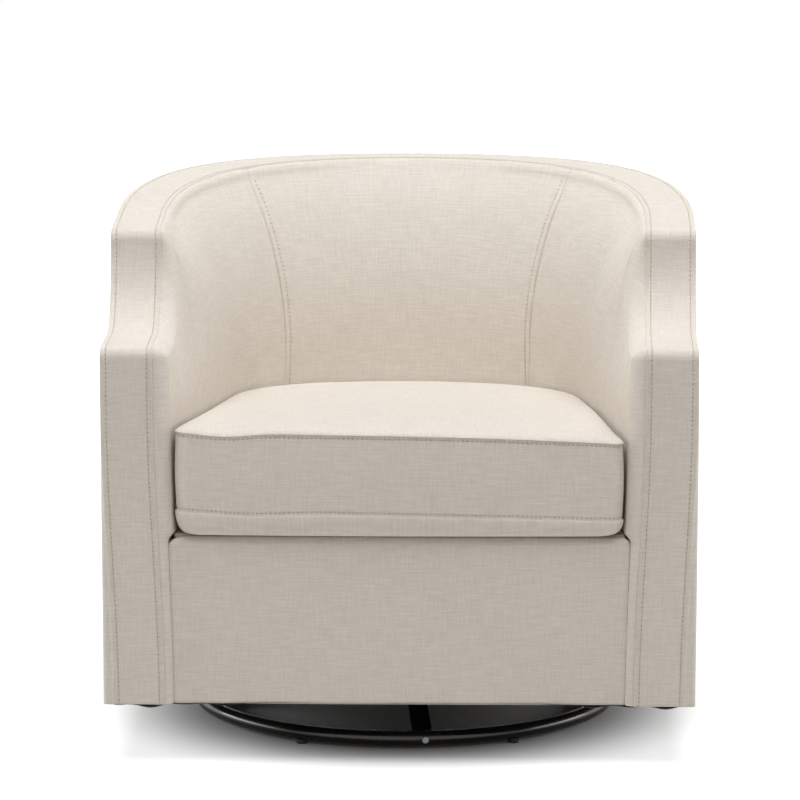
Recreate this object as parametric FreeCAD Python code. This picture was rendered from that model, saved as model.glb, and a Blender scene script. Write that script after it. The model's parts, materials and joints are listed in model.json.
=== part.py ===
import FreeCAD, Part
import math
import os

# Swivel barrel chair: a round upholstered body that turns on a steel ring base, with a loose cushion.
# Millimetres. X to the sitter's left as seen from the front, +Y to the back, +Z up.
# The origin is on the floor, on the swivel's axis.

V = FreeCAD.Vector
os.makedirs("parts", exist_ok=True)

# Body outline from above
body_half_width = 380.0        # widest, behind the arms
arm_front_draw = 12.0          # arm fronts stand in from the widest part, each side
arm_front_y = -362.0           # front face of the arms
body_back_y = 371.0            # outermost point of the back
body_corner_x = 30.0           # from the middle to the centres of the round corners
body_back_crown = 9.0          # how far the back's middle stands behind the corners

# Body outline from the side
body_bottom_z = 78.0
arm_top_z = 525.0
back_top_z = 704.0
arm_edge_radius = 14.0         # front edge of the arm top
riser_y = -125.0               # steepest part of the step from arm to wing
shoulder_radius = 16.0         # top of the step
wing_slope = 2.9               # degrees, top of the wing behind the step
crest_slope = 14.5             # degrees, steepest climb towards the back
crest_y = 50.0                 # where that climb is steepest
crest_blend_radius = 330.0     # hollow curve before it

# Upholstery
band_width = 64.5              # sewn strip along the front and the top
band_thickness = 8.0
cover_thickness = 5.0          # board and cloth outside
seam_angle = 45.0              # degrees from the X axis, seams between back and wings

# Seat space: outline at seat height, and how the pads lean out to the band above it
arm_front_width = 87.0         # from the arm's outer side to the seat space, at its front
side_depth = 143.5             # the same beside the round part
back_depth = 160.0             # the same in the middle of the back
seat_corner_x = 46.5           # from the middle to the centres of the round corners
seat_back_crown = 4.5
wing_lean_height = 200.0       # height over which the wings lean out
back_lean_height = 245.0       # height over which the back leans out
arm_lean_height = 90.0         # height over which the wing's front edge rounds off
lean_level_step = 40.0         # height between the sections that shape the leaning pads
lean_start_z = 440.0           # first of those sections, upright below it

# Frame
ply_thickness = 18.0
slat_thickness = 12.0
slat_width = 45.0
slat_top_gap = 8.0             # slats end below the band
slat_count = 7
slat_first_angle = 6.0         # degrees from the X axis
ply_split_y = 20.0             # arm boards end and curved rails begin here
post_depth = 36.0              # front posts, across the arm
post_length = 39.0             # front posts, front to back
rail_thickness = 25.0
bottom_rail_height = 40.0
front_rail_height = 50.0
back_rail_height = 60.0
back_rail_lead = 21.0          # straight rear rails start ahead of the seat space's back
cross_rail_width = 50.0
cross_rail_height = 32.0
cross_rail_x = 80.0            # centre of each cross rail
corner_block_size = 70.0

# Apron, deck and dust cover
apron_recess = 8.0             # apron's face behind the arm fronts
apron_tuck = 3.0               # apron reaches behind the arms, each side
apron_side_gap = 1.0
apron_top_gap = 3.0            # apron's top edge below the deck's top
apron_corner_radius = 12.0
seat_rail_top_z = 275.0
deck_thickness = 10.3
deck_clearance = 0.2           # above the spring clips
dust_cover_thickness = 1.5
dust_cover_hole = 210.0        # side of the square hole round the swivel

# Seat springs
spring_count = 5
spring_spacing = 96.0
spring_wire_radius = 1.8
spring_half_width = 22.0
spring_bends = 20
clip_thickness = 0.8
clip_width = 18.0
clip_length = 10.0
tie_wire_radius = 1.25
tie_wire_ys = (-140.0, 20.0)

# Cushion
cushion_clearance = 1.5        # between cushion and inner pads
cushion_overhang = 9.0         # in front of the arms
cushion_gap = 0.3              # above the deck
cushion_lower_seam = 27.0      # heights above the cushion's bottom
cushion_upper_seam = 126.0
cushion_crown = 15.0
cushion_crown_steps = ((0, 0), (0.105, 0.4), (0.316, 0.72), (0.58, 0.93), (0.84, 1.0))
cushion_underside_inset = 12.0
cushion_belly_share = 0.3      # of the inset and of the height, where the underside turns up
cushion_corner_radius = 20.0
cushion_corner_growth = 0.35   # radius gained for each millimetre set in
cushion_back_drop = 19.0       # upper seam falls this far to the back
cushion_side_draw = 3.0        # boxing drawn in between the seams
cushion_front_bow = 5.0        # front edge bowed forward between its corners
cushion_wall = 2.5
zipper_length = 380.0
zipper_height = 24.0
zipper_thickness = 1.0
zipper_bed = 0.5               # boxing bulges this far towards the zipper's edges
slider_length = 10.0
slider_height = 9.0
slider_thickness = 1.5

# Swivel bearing
plate_side = 190.0
plate_thickness = 3.0
race_radius = 72.0
race_width = 14.0
race_thickness = 4.5
ball_radius = 4.0
ball_count = 24
ball_clearance = 0.1
race_gap = 3.0
cage_thickness = 1.6
pin_radius = 6.0
pin_head_radius = 12.0
pin_head_thickness = 4.0
pin_clearance = 0.1
pin_end = 1.0                  # thread beyond the nut
nut_flat_radius = 11.0
nut_thickness = 8.0
washer_radius = 16.0
washer_thickness = 2.0
washer_clearance = 0.3
bolt_radius = 4.0
bolt_head_radius = 7.0
bolt_head_thickness = 5.0
bolt_spacing = 160.0
tee_nut_radius = 10.0
tee_nut_thickness = 2.0
tee_nut_barrel_radius = 5.5
tee_nut_barrel = 10.0

# Ring base
ring_radius = 270.5            # to the tube's centre line
ring_tube_radius = 9.5
ring_tube_wall = 1.5
glide_height = 4.5
glide_radius = 7.0
glide_rim = 1.5                # how far a glide wraps up round the tube
glide_count = 6
glide_first_angle = -88.0      # degrees from the front, towards +X
spoke_count = 4
spoke_first_angle = 6.5        # degrees from the front, towards +X
spoke_width = 25.0
spoke_thickness = 6.0
spoke_flat_length = 28.0       # level end at the ring
spoke_rise_radius = 110.0      # where the level part at the hub begins
spoke_inner_radius = 30.0
screw_radius = 2.5
screw_head_radius = 4.0
screw_head_thickness = 2.0
screw_depth = 20.0             # length inside the spoke

# Widths, heights and places that follow from the sizes above
front_half_width = body_half_width - arm_front_draw
body_corner_radius = body_half_width - body_corner_x
seat_front_half_width = front_half_width - arm_front_width
seat_widest_half = body_half_width - side_depth
seat_corner_radius = seat_widest_half - seat_corner_x
seat_back_y = body_back_y - back_depth
back_rail_y = seat_back_y - back_rail_lead
apron_half_width = seat_front_half_width + apron_tuck
frame_bottom_z = body_bottom_z + dust_cover_thickness
deck_bottom_z = seat_rail_top_z + 2 * clip_thickness + 2 * spring_wire_radius + deck_clearance
deck_top_z = deck_bottom_z + deck_thickness
apron_top_z = deck_top_z - apron_top_gap
cushion_bottom_z = deck_top_z + cushion_gap
cushion_front_y = arm_front_y - cushion_overhang
cushion_back_tilt = math.degrees(math.atan(cushion_back_drop / (seat_back_y - cushion_front_y)))
zipper_face = cushion_clearance + cushion_side_draw - zipper_bed - zipper_thickness
post_front_y = arm_front_y + band_thickness
post_back_y = post_front_y + post_length
front_rail_y = post_back_y - rail_thickness
ply_inset = cover_thickness + ply_thickness
slat_inset = ply_inset + slat_thickness
lower_half_width = apron_half_width + apron_side_gap
overshoot = 30.0               # how far trimming solids pass the faces they trim
reach = 1000.0                 # larger than the chair, for trimming solids


def degrees(angle):
    return math.radians(angle)


def on_circle(centre, radius, angle):
    return V(centre.x + radius * math.cos(angle), centre.y + radius * math.sin(angle), centre.z)


def arc_edge(centre, radius, start, end):
    middle = (start + end) / 2
    points = [on_circle(centre, radius, a) for a in (start, middle, end)]
    return Part.Arc(*points).toShape()


def line_edge(a, b):
    return Part.LineSegment(a, b).toShape()


def prism(edges, low, high):
    face = Part.Face(Part.Wire(edges))
    face.translate(V(0, 0, low - face.BoundBox.ZMin))
    return face.extrude(V(0, 0, high - low))


def block(x0, x1, y0, y1, z0, z1):
    return Part.makeBox(x1 - x0, y1 - y0, z1 - z0, V(x0, y0, z0))


def disc(radius, z0, z1, x=0.0, y=0.0):
    return Part.makeCylinder(radius, z1 - z0, V(x, y, z0))


def mirrored(shape):
    return shape.mirror(V(0, 0, 0), V(1, 0, 0))


def turned(shape, angle):
    copy = shape.copy()
    copy.rotate(V(0, 0, 0), V(0, 0, 1), angle)
    return copy


def lowered(shape, drop):
    copy = shape.copy()
    copy.translate(V(0, 0, -drop))
    return copy


def group(shapes):
    return Part.makeCompound(shapes)


# Barrel outline: straight sides that meet a round corner, and a flatter arc across the back
class Barrel:
    def __init__(self, front_x, front_y, widest, back_y, corner_radius, back_crown, z=0.0):
        self.front_y = front_y
        self.back_y = back_y
        self.radius = corner_radius
        self.corner = V(widest - corner_radius, back_y - back_crown - corner_radius, z)
        across = front_x - self.corner.x
        along = self.corner.y - front_y
        distance = math.hypot(across, along)
        self.heading = math.asin(corner_radius / distance) - math.atan2(across, along)
        drop = self.corner.y - back_y
        top = corner_radius ** 2 - self.corner.x ** 2 - drop ** 2
        self.back_radius = top / (2 * (drop + corner_radius))
        self.back_centre = V(0, back_y - self.back_radius, z)
        rise = self.corner.y - self.back_centre.y
        self.join = math.atan2(rise, self.corner.x)

    def tangent_point(self, inset):
        return on_circle(self.corner, self.radius - inset, -self.heading)

    def front_point(self, inset, front_y):
        start = self.tangent_point(inset)
        return V(start.x - (start.y - front_y) * math.tan(self.heading), front_y, start.z)

    # Edges from the front of the -X side, round the back, to the front of the +X side
    def edges(self, inset=0.0, front_y=None):
        front_y = self.front_y if front_y is None else front_y
        radius = self.radius - inset
        left_corner = V(-self.corner.x, self.corner.y, self.corner.z)
        front = self.front_point(inset, front_y)
        tangent = self.tangent_point(inset)
        left_front = V(-front.x, front.y, front.z)
        left_tangent = V(-tangent.x, tangent.y, tangent.z)
        left_arc = arc_edge(left_corner, radius, math.pi + self.heading, math.pi - self.join)
        back_arc = arc_edge(self.back_centre, self.back_radius - inset, math.pi - self.join, self.join)
        right_arc = arc_edge(self.corner, radius, self.join, -self.heading)
        return [line_edge(left_front, left_tangent), left_arc, back_arc, right_arc,
                line_edge(tangent, front)]

    def closed(self, inset=0.0, front_y=None):
        front_y = self.front_y if front_y is None else front_y
        front = self.front_point(inset, front_y)
        return self.edges(inset, front_y) + [line_edge(front, V(-front.x, front.y, front.z))]

    # Closed outline between two insets, open at the front like a U
    def ring(self, outer, inner, front_y=None):
        front_y = self.front_y if front_y is None else front_y
        a = self.front_point(outer, front_y)
        b = self.front_point(inner, front_y)
        bridge = line_edge(a, b)
        other = line_edge(V(-b.x, b.y, b.z), V(-a.x, a.y, a.z))
        return self.edges(outer, front_y) + [bridge] + self.edges(inner, front_y)[::-1] + [other]


body = Barrel(front_half_width, arm_front_y, body_half_width, body_back_y,
              body_corner_radius, body_back_crown)


def body_wall(outer, inner, low, high):
    return prism(body.ring(outer, inner), low, high)


def body_inside(inset, low, high):
    return prism(body.closed(inset), low, high)


# Side view: the line that the top of the chair follows, as lines and arcs that join smoothly
def top_line():
    wing = degrees(wing_slope)
    climb = degrees(crest_slope)
    crest_radius = (body_back_y - crest_y) / math.sin(climb)
    crest_centre = V(body_back_y, back_top_z - crest_radius, 0)
    blend_centre = on_circle(crest_centre, crest_radius + crest_blend_radius, math.pi / 2 + climb)
    blend_start = on_circle(blend_centre, crest_blend_radius, wing - math.pi / 2)
    shoulder_y = riser_y + shoulder_radius
    touch_y = shoulder_y - shoulder_radius * math.sin(wing)
    touch_z = blend_start.y - (blend_start.x - touch_y) * math.tan(wing)
    shoulder = V(shoulder_y, touch_z - shoulder_radius * math.cos(wing), 0)
    foot_radius = shoulder.y - arm_top_z
    foot = V(riser_y - foot_radius, shoulder.y, 0)
    edge = V(arm_front_y + arm_edge_radius, arm_top_z - arm_edge_radius, 0)
    return [("line", V(arm_front_y, body_bottom_z, 0), V(arm_front_y, edge.y, 0)),
            ("arc", edge, arm_edge_radius, math.pi, math.pi / 2),
            ("line", V(edge.x, arm_top_z, 0), V(foot.x, arm_top_z, 0)),
            ("arc", foot, foot_radius, -math.pi / 2, 0.0),
            ("arc", shoulder, shoulder_radius, math.pi, math.pi / 2 + wing),
            ("line", V(touch_y, touch_z, 0), blend_start),
            ("arc", blend_centre, crest_blend_radius, wing - math.pi / 2, climb - math.pi / 2),
            ("arc", crest_centre, crest_radius, math.pi / 2 + climb, math.pi / 2)]


# The same line set in by a depth: convex arcs shrink and hollow ones grow
def top_edges(inset):
    edges = []
    for part in top_line():
        if part[0] == "line":
            along = part[2].sub(part[1])
            along.normalize()
            shift = V(along.y, -along.x, 0).multiply(inset)
            edges.append(line_edge(part[1].add(shift), part[2].add(shift)))
        else:
            convex = part[4] < part[3]
            radius = part[2] - inset if convex else part[2] + inset
            edges.append(arc_edge(part[1], radius, part[3], part[4]))
    return edges


# Everything under that line, as a solid across the whole width
def under_top(inset=0.0, low=body_bottom_z):
    edges = top_edges(inset)
    start = edges[0].Vertexes[0].Point
    end = V(body_back_y, back_top_z - inset, 0)
    corners = [end, V(body_back_y + reach, end.y, 0), V(body_back_y + reach, low, 0),
               V(start.x, low, 0)]
    if start.y > low:
        corners.append(V(start.x, start.y, 0))
    elif start.y < low:
        edges[0] = line_edge(corners[-1], edges[0].Vertexes[1].Point)
    edges += [line_edge(a, b) for a, b in zip(corners, corners[1:])]
    face = Part.Face(Part.Wire(edges))
    solid = face.extrude(V(0, 0, 2 * reach))
    solid.translate(V(0, 0, -reach))
    solid.rotate(V(0, 0, 0), V(1, 1, 1), 120)
    return solid


# Share of the lean at a depth below the band: 1 at the band, 0 where the pad stands upright
def lean(depth, thickness, height):
    radius = (thickness ** 2 + height ** 2) / (2 * thickness)
    left = min(max(height - depth, 0.0), height)
    share = 1 - (thickness - radius + math.sqrt(radius ** 2 - left ** 2)) / thickness
    if depth < 0:
        steepness = height / math.sqrt(radius ** 2 - height ** 2)
        share -= depth * steepness / thickness
    return share


# Outline of the upright seat space
def seat_base(front_half_width, z=0.0):
    return Barrel(front_half_width, arm_front_y, seat_widest_half, seat_back_y,
                  seat_corner_radius, seat_back_crown, z)


# Outline of the seat space at one height above the deck
def seat_outline(z):
    wing_line = top_line()[5]
    arm_pad_top_z = wing_line[1].y
    wing_top_z = wing_line[2].y
    side_travel = body_half_width - band_width - seat_widest_half
    back_travel = body_back_y - band_width - seat_back_y
    front_travel = body.front_point(band_width, riser_y).x - seat_front_half_width
    side = lean(wing_top_z - z, side_travel, wing_lean_height)
    back = lean(back_top_z - z, back_travel, back_lean_height)
    front = lean(arm_pad_top_z - z, front_travel, arm_lean_height)
    corner_travel = body_corner_radius - band_width - seat_corner_radius
    return Barrel(seat_front_half_width + front_travel * front, arm_front_y,
                  seat_widest_half + side_travel * side,
                  seat_back_y + back_travel * back,
                  seat_corner_radius + corner_travel * (side + back) / 2,
                  seat_back_crown + (body_back_crown - seat_back_crown) * back, z)


def loft(outlines):
    return Part.makeLoft([Part.Wire(edges) for edges in outlines], True, False)


# Parts of the seat space, which trim the inner pads: beside the deck, beside the cushion, leaning out
def seat_space():
    front = arm_front_y - overshoot
    deck = prism(seat_base(lower_half_width).closed(0, front), body_bottom_z - overshoot, deck_top_z)
    seat = prism(seat_base(seat_front_half_width).closed(0, front), deck_top_z, lean_start_z)
    levels = [lean_start_z]
    while levels[-1] < back_top_z:
        levels.append(levels[-1] + lean_level_step)
    return [deck, seat, loft([seat_outline(z).closed(0, front) for z in levels])]


# Sector between the two seams of the inside back
def back_sector():
    a = degrees(seam_angle)
    far = 2 * reach
    corners = [V(0, 0, 0), V(far * math.cos(a), far * math.sin(a), 0), V(0, far * 2, 0),
               V(-far * math.cos(a), far * math.sin(a), 0)]
    edges = [line_edge(p, q) for p, q in zip(corners, corners[1:] + corners[:1])]
    return prism(edges, -reach, reach)


sector = back_sector()
left_half = block(-reach, 0, -reach, reach, -reach, reach)
right_half = block(0, reach, -reach, reach, -reach, reach)
top = under_top()
under_band = under_top(band_thickness)


# One piece between the back seams, and one on each side of it
def split_at_seams(shape):
    sides = shape.cut(sector)
    return shape.common(sector), sides.common(left_half), sides.common(right_half)


# Wooden frame
def arm_panels():
    wall = body_wall(cover_thickness, ply_inset, frame_bottom_z, back_top_z)
    board = wall.common(under_band).common(block(-reach, reach, -reach, ply_split_y, 0, reach))
    return board.common(left_half), board.common(right_half)


def curved_rail(low, high):
    wall = body_wall(cover_thickness, ply_inset, low, high)
    return wall.common(block(-reach, reach, ply_split_y, reach, 0, reach))


def back_top_rail():
    wall = curved_rail(frame_bottom_z, back_top_z).common(under_band)
    return wall.cut(lowered(under_band, back_rail_height))


def back_slats():
    wall = body_wall(ply_inset, slat_inset, frame_bottom_z, back_top_z)
    wall = wall.common(lowered(under_band, slat_top_gap))
    step = (180 - 2 * slat_first_angle) / (slat_count - 1)
    board = block(0, reach, -slat_width / 2, slat_width / 2, 0, reach)
    return group([wall.common(turned(board, slat_first_angle + i * step)) for i in range(slat_count)])


def front_posts():
    wall = body_wall(ply_inset, ply_inset + post_depth, frame_bottom_z, arm_top_z)
    return wall.common(under_band).common(block(-reach, reach, post_front_y, post_back_y, 0, reach))


def side_rails(low, high):
    wall = body_wall(ply_inset, ply_inset + rail_thickness, low, high)
    return wall.common(block(-reach, reach, post_back_y, ply_split_y, 0, reach)).cut(slats)


def front_rail(low, high):
    inner = body_inside(ply_inset + post_depth, low, high)
    return inner.common(block(-reach, reach, front_rail_y, post_back_y, 0, reach))


def straight_back_rail(low, high):
    inner = body_inside(slat_inset, low, high)
    return inner.common(block(-reach, reach, back_rail_y, back_rail_y + rail_thickness, 0, reach))


def cross_rails():
    x0 = cross_rail_x - cross_rail_width / 2
    right = block(x0, x0 + cross_rail_width, post_back_y, back_rail_y,
                  frame_bottom_z, frame_bottom_z + cross_rail_height)
    holes = [disc(bolt_radius, 0, reach, x, y) for x, y in bolt_places() if x > 0]
    holes += [disc(tee_nut_barrel_radius, tee_nut_z - tee_nut_barrel, reach, x, y)
              for x, y in bolt_places() if x > 0]
    right = right.cut(group(holes))
    return group([right, mirrored(right)])


# Triangular blocks in the two front corners of the bottom frame
def corner_blocks():
    inner = body_inside(ply_inset + rail_thickness, frame_bottom_z, frame_bottom_z + cross_rail_height)
    front = body.front_point(ply_inset + rail_thickness, post_back_y + corner_block_size)
    size = corner_block_size
    corner = V(front.x, post_back_y, 0)
    edges = [line_edge(corner, V(corner.x - size, corner.y, 0)),
             line_edge(V(corner.x - size, corner.y, 0), V(corner.x, corner.y + size, 0)),
             line_edge(V(corner.x, corner.y + size, 0), corner)]
    right = prism(edges, frame_bottom_z, frame_bottom_z + cross_rail_height).common(inner)
    return group([right, mirrored(right)])


# Steel zigzag springs from the front seat rail to the rear one
def zigzag_spring(x):
    start = front_rail_y + rail_thickness / 2
    end = back_rail_y + rail_thickness / 2
    pitch = (end - start) / spring_bends
    z = spring_z
    radius = pitch / 2
    straight = spring_half_width - radius
    edges = []
    for i in range(spring_bends):
        side = 1 if i % 2 == 0 else -1
        y = start + i * pitch
        edges.append(line_edge(V(x - side * straight, y, z), V(x + side * straight, y, z)))
        edges.append(Part.Arc(V(x + side * straight, y, z),
                              V(x + side * (straight + radius), y + radius, z),
                              V(x + side * straight, y + pitch, z)).toShape())
    side = 1 if spring_bends % 2 == 0 else -1
    edges.append(line_edge(V(x - side * straight, end, z), V(x + side * straight, end, z)))
    path = Part.Wire(edges)
    circle = Part.Wire(Part.makeCircle(spring_wire_radius, V(x - straight, start, z), V(1, 0, 0)))
    return path.makePipeShell([circle], True, False)


def spring_xs():
    middle = (spring_count - 1) / 2
    return [(i - middle) * spring_spacing for i in range(spring_count)]


def seat_springs():
    return group([zigzag_spring(x) for x in spring_xs()])


def spring_clips():
    clips = []
    for x in spring_xs():
        for y in (front_rail_y + rail_thickness / 2, back_rail_y + rail_thickness / 2):
            clip = block(x - clip_width / 2, x + clip_width / 2, y - clip_length / 2, y + clip_length / 2,
                         seat_rail_top_z, spring_z + spring_wire_radius + clip_thickness)
            bore = Part.makeCylinder(spring_wire_radius, clip_width, V(x - clip_width / 2, y, spring_z),
                                     V(1, 0, 0))
            clips.append(clip.cut(bore))
    return group(clips)


def spring_tie_wires():
    z = spring_z - spring_wire_radius - tie_wire_radius
    wires = []
    for y in tie_wire_ys:
        x = body.front_point(ply_inset + rail_thickness, y).x
        wires.append(Part.makeCylinder(tie_wire_radius, 2 * x, V(-x, y, z), V(1, 0, 0)))
    return group(wires).cut(seat_sides)


# Upholstery fixed to the frame
def inner_pads():
    pads = body_inside(ply_inset, body_bottom_z, back_top_z).common(top)
    under_seat = block(-reach, reach, post_back_y, reach, 0, deck_bottom_z)
    for other in seat_space() + [band, under_seat, posts, slats, seat_front, bottom_front]:
        pads = pads.cut(other)
    return pads


def seat_deck():
    outline = seat_base(lower_half_width).closed(cushion_gap, front_rail_y)
    return prism(outline, deck_bottom_z, deck_top_z)


def front_apron():
    outline = seat_base(lower_half_width).closed(apron_side_gap)
    panel = prism(outline, body_bottom_z, apron_top_z)
    panel = panel.common(block(-reach, reach, arm_front_y + apron_recess, front_rail_y, 0, reach))
    corners = [e for e in panel.Edges
               if e.BoundBox.ZMin > deck_bottom_z and e.BoundBox.YLength > e.BoundBox.XLength]
    return panel.makeFillet(apron_corner_radius, corners)


def dust_cover():
    inner = body_inside(cover_thickness, body_bottom_z, frame_bottom_z)
    sheet = inner.common(block(-reach, reach, front_rail_y, reach, 0, reach))
    half = dust_cover_hole / 2
    hole = block(-half, half, -half, half, 0, reach)
    return sheet.cut(hole).cut(pads)


# Loose seat cushion: a boxed D shape with a crowned top
def cushion_outline(inset, z):
    seat = seat_base(seat_front_half_width, z)
    radius = cushion_corner_radius + cushion_corner_growth * inset
    front_y = cushion_front_y + cushion_front_bow + inset
    inset = inset + cushion_clearance
    centre = seat.front_point(inset + radius, front_y + radius)
    side = on_circle(centre, radius, -seat.heading)
    left_centre = V(-centre.x, centre.y, z)
    barrel = seat.edges(inset, side.y)
    bow = Part.Arc(V(-centre.x, front_y, z), V(0, front_y - cushion_front_bow, z),
                   V(centre.x, front_y, z)).toShape()
    right = arc_edge(centre, radius, -seat.heading, -math.pi / 2)
    left = arc_edge(left_centre, radius, -math.pi / 2, -math.pi + seat.heading)
    return barrel + [right, bow, left]


# shrink moves every surface inward, for the filling inside the cover. Layers above the lower seam tilt
# back, in full from the upper seam on. The crown's steps are shares of the corner radius set in and of
# the crown's height.
def cushion_solid(shrink):
    def layer(inset, height):
        height = min(max(height, shrink), cushion_upper_seam + cushion_crown - shrink)
        rise = (height - cushion_lower_seam) / (cushion_upper_seam - cushion_lower_seam)
        tilt = -cushion_back_tilt * min(max(rise, 0), 1)
        z = cushion_bottom_z + height
        outline = cushion_outline(inset + shrink, z)
        for edge in outline:
            edge.rotate(V(0, cushion_front_y, z), V(1, 0, 0), tilt)
        return outline

    seam_low = cushion_lower_seam
    seam_high = cushion_upper_seam
    crown = cushion_crown - shrink
    turn = cushion_belly_share
    belly = loft([layer(cushion_underside_inset, 0), layer(cushion_underside_inset * turn, seam_low * turn),
                  layer(0, seam_low)])
    boxing = loft([layer(0, seam_low), layer(cushion_side_draw, (seam_low + seam_high) / 2),
                   layer(0, seam_high)])
    cap = loft([layer(seat_corner_radius * share, seam_high + crown * rise)
                for share, rise in cushion_crown_steps])
    return belly.fuse(boxing).fuse(cap)


# A strip that follows the cushion's rear boxing at mid height
def boxing_strip(outer, inner, height, x0, x1):
    middle = cushion_bottom_z + (cushion_lower_seam + cushion_upper_seam - cushion_back_drop) / 2
    ring = seat_base(seat_front_half_width).ring(outer, inner)
    strip = prism(ring, middle - height / 2, middle + height / 2)
    return strip.common(block(x0, x1, 0, reach, 0, reach))


def cushion_zipper():
    half = zipper_length / 2
    return boxing_strip(zipper_face, zipper_face + zipper_thickness, zipper_height, -half, half)


def zip_slider():
    end = zipper_length / 2 - slider_length
    return boxing_strip(zipper_face - slider_thickness, zipper_face, slider_height, end - slider_length, end)


# Swivel: two plates with a ring of balls between them, held by a pin
def race(z0, ball_z):
    ring = disc(race_radius + race_width / 2, z0, z0 + race_thickness)
    ring = ring.cut(disc(race_radius - race_width / 2, z0, z0 + race_thickness))
    groove = Part.makeTorus(race_radius, ball_radius + ball_clearance, V(0, 0, ball_z))
    return ring.cut(groove)


def bolt_places():
    half = bolt_spacing / 2
    return [(x, y) for x in (-half, half) for y in (-half, half)]


def swivel_plate(z0):
    plate = block(-plate_side / 2, plate_side / 2, -plate_side / 2, plate_side / 2,
                  z0, z0 + plate_thickness)
    return plate.cut(disc(pin_radius + pin_clearance, z0, z0 + plate_thickness))


def upper_plate():
    holes = group([disc(bolt_radius, 0, reach, x, y) for x, y in bolt_places()])
    return swivel_plate(upper_plate_z).cut(holes)


def around(count, radius, maker):
    return group([turned(maker(radius), i * 360.0 / count) for i in range(count)])


def ball_at(radius):
    return Part.makeSphere(ball_radius, V(radius, 0, ball_z))


def ball_cage():
    low = ball_z - cage_thickness / 2
    ring = disc(race_radius + race_width / 2, low, low + cage_thickness)
    ring = ring.cut(disc(race_radius - race_width / 2, low, low + cage_thickness))
    holes = around(ball_count, race_radius,
                   lambda r: disc(ball_radius + ball_clearance, low, low + cage_thickness, r))
    return ring.cut(holes)


def king_pin():
    head = disc(pin_head_radius, lower_plate_z - pin_head_thickness, lower_plate_z)
    top_z = washer_z + washer_thickness + nut_thickness + pin_end
    return head.fuse(disc(pin_radius, lower_plate_z - pin_head_thickness, top_z))


def washer():
    ring = disc(washer_radius, washer_z, washer_z + washer_thickness)
    return ring.cut(disc(pin_radius, washer_z, washer_z + washer_thickness))


def hexagon(radius, z0, z1, x=0.0, y=0.0):
    centre = V(x, y, z0)
    corners = [on_circle(centre, radius / math.cos(math.pi / 6), i * math.pi / 3) for i in range(6)]
    edges = [line_edge(a, b) for a, b in zip(corners, corners[1:] + corners[:1])]
    return prism(edges, z0, z1)


def king_pin_nut():
    low = washer_z + washer_thickness
    return hexagon(nut_flat_radius, low, low + nut_thickness).cut(disc(pin_radius, low, reach))


def plate_bolts():
    bolts = []
    for x, y in bolt_places():
        head = hexagon(bolt_head_radius, upper_plate_z - bolt_head_thickness, upper_plate_z, x, y)
        bolts.append(head.fuse(disc(bolt_radius, upper_plate_z, tee_nut_z, x, y)))
    return group(bolts)


# A barrel sunk in the cross rail, with a flange on its top face
def tee_nuts():
    nuts = []
    for x, y in bolt_places():
        barrel = disc(tee_nut_barrel_radius, tee_nut_z - tee_nut_barrel, tee_nut_z, x, y)
        flange = disc(tee_nut_radius, tee_nut_z, tee_nut_z + tee_nut_thickness, x, y)
        nuts.append(barrel.fuse(flange).cut(disc(bolt_radius, 0, tee_nut_z, x, y)))
    return group(nuts)


# Steel ring base
def front_direction(angle):
    return angle - 90.0


def base_ring():
    tube = Part.makeTorus(ring_radius, ring_tube_radius, V(0, 0, ring_z))
    hollow = Part.makeTorus(ring_radius, ring_tube_radius - ring_tube_wall, V(0, 0, ring_z))
    return tube.cut(hollow).cut(screw_holes)


def spoke_angles():
    return [front_direction(spoke_first_angle + i * 360.0 / spoke_count) for i in range(spoke_count)]


def screw_shank(radius):
    start = ring_radius - ring_tube_radius - screw_depth
    end = ring_radius + ring_tube_radius
    return Part.makeCylinder(radius, end - start, V(start, 0, ring_z), V(1, 0, 0))


def spoke_screws():
    head = Part.makeCylinder(screw_head_radius, 2 * screw_head_thickness,
                             V(ring_radius + ring_tube_radius - screw_head_thickness, 0, ring_z), V(1, 0, 0))
    head = head.cut(Part.makeTorus(ring_radius, ring_tube_radius, V(0, 0, ring_z)))
    screw = head.fuse(screw_shank(screw_radius))
    return group([turned(screw, a) for a in spoke_angles()])


# Flat bar seen from its side: level at the ring, a straight climb, level again at the hub
def base_spoke():
    half = spoke_thickness / 2
    top_z = lower_plate_z - half
    outer = ring_radius
    bend = ring_radius - ring_tube_radius - spoke_flat_length
    climb = math.atan2(top_z - ring_z, bend - spoke_rise_radius)
    shift = half * math.tan(climb / 2)
    upper = [V(outer, 0, ring_z + half), V(bend + shift, 0, ring_z + half),
             V(spoke_rise_radius + shift, 0, top_z + half), V(spoke_inner_radius, 0, top_z + half)]
    lower = [V(spoke_inner_radius, 0, top_z - half), V(spoke_rise_radius - shift, 0, top_z - half),
             V(bend - shift, 0, ring_z - half), V(outer, 0, ring_z - half)]
    corners = upper + lower
    edges = [line_edge(a, b) for a, b in zip(corners, corners[1:] + corners[:1])]
    bar = Part.Face(Part.Wire(edges)).extrude(V(0, spoke_width, 0))
    bar.translate(V(0, -spoke_width / 2, 0))
    bar = bar.cut(Part.makeTorus(ring_radius, ring_tube_radius, V(0, 0, ring_z)))
    bar = bar.common(disc(ring_radius, 0, reach))
    return bar.cut(screw_shank(screw_radius))


def base_spokes():
    return group([turned(base_spoke(), a) for a in spoke_angles()])


def ring_glides():
    tube = Part.makeTorus(ring_radius, ring_tube_radius, V(0, 0, ring_z))
    foot = disc(glide_radius, 0, ring_z, ring_radius).cut(tube)
    foot = foot.common(block(-reach, reach, -reach, reach, 0, glide_height + glide_rim))
    step = 360.0 / glide_count
    angles = [front_direction(glide_first_angle + i * step) for i in range(glide_count)]
    return group([turned(foot, a) for a in angles])


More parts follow.
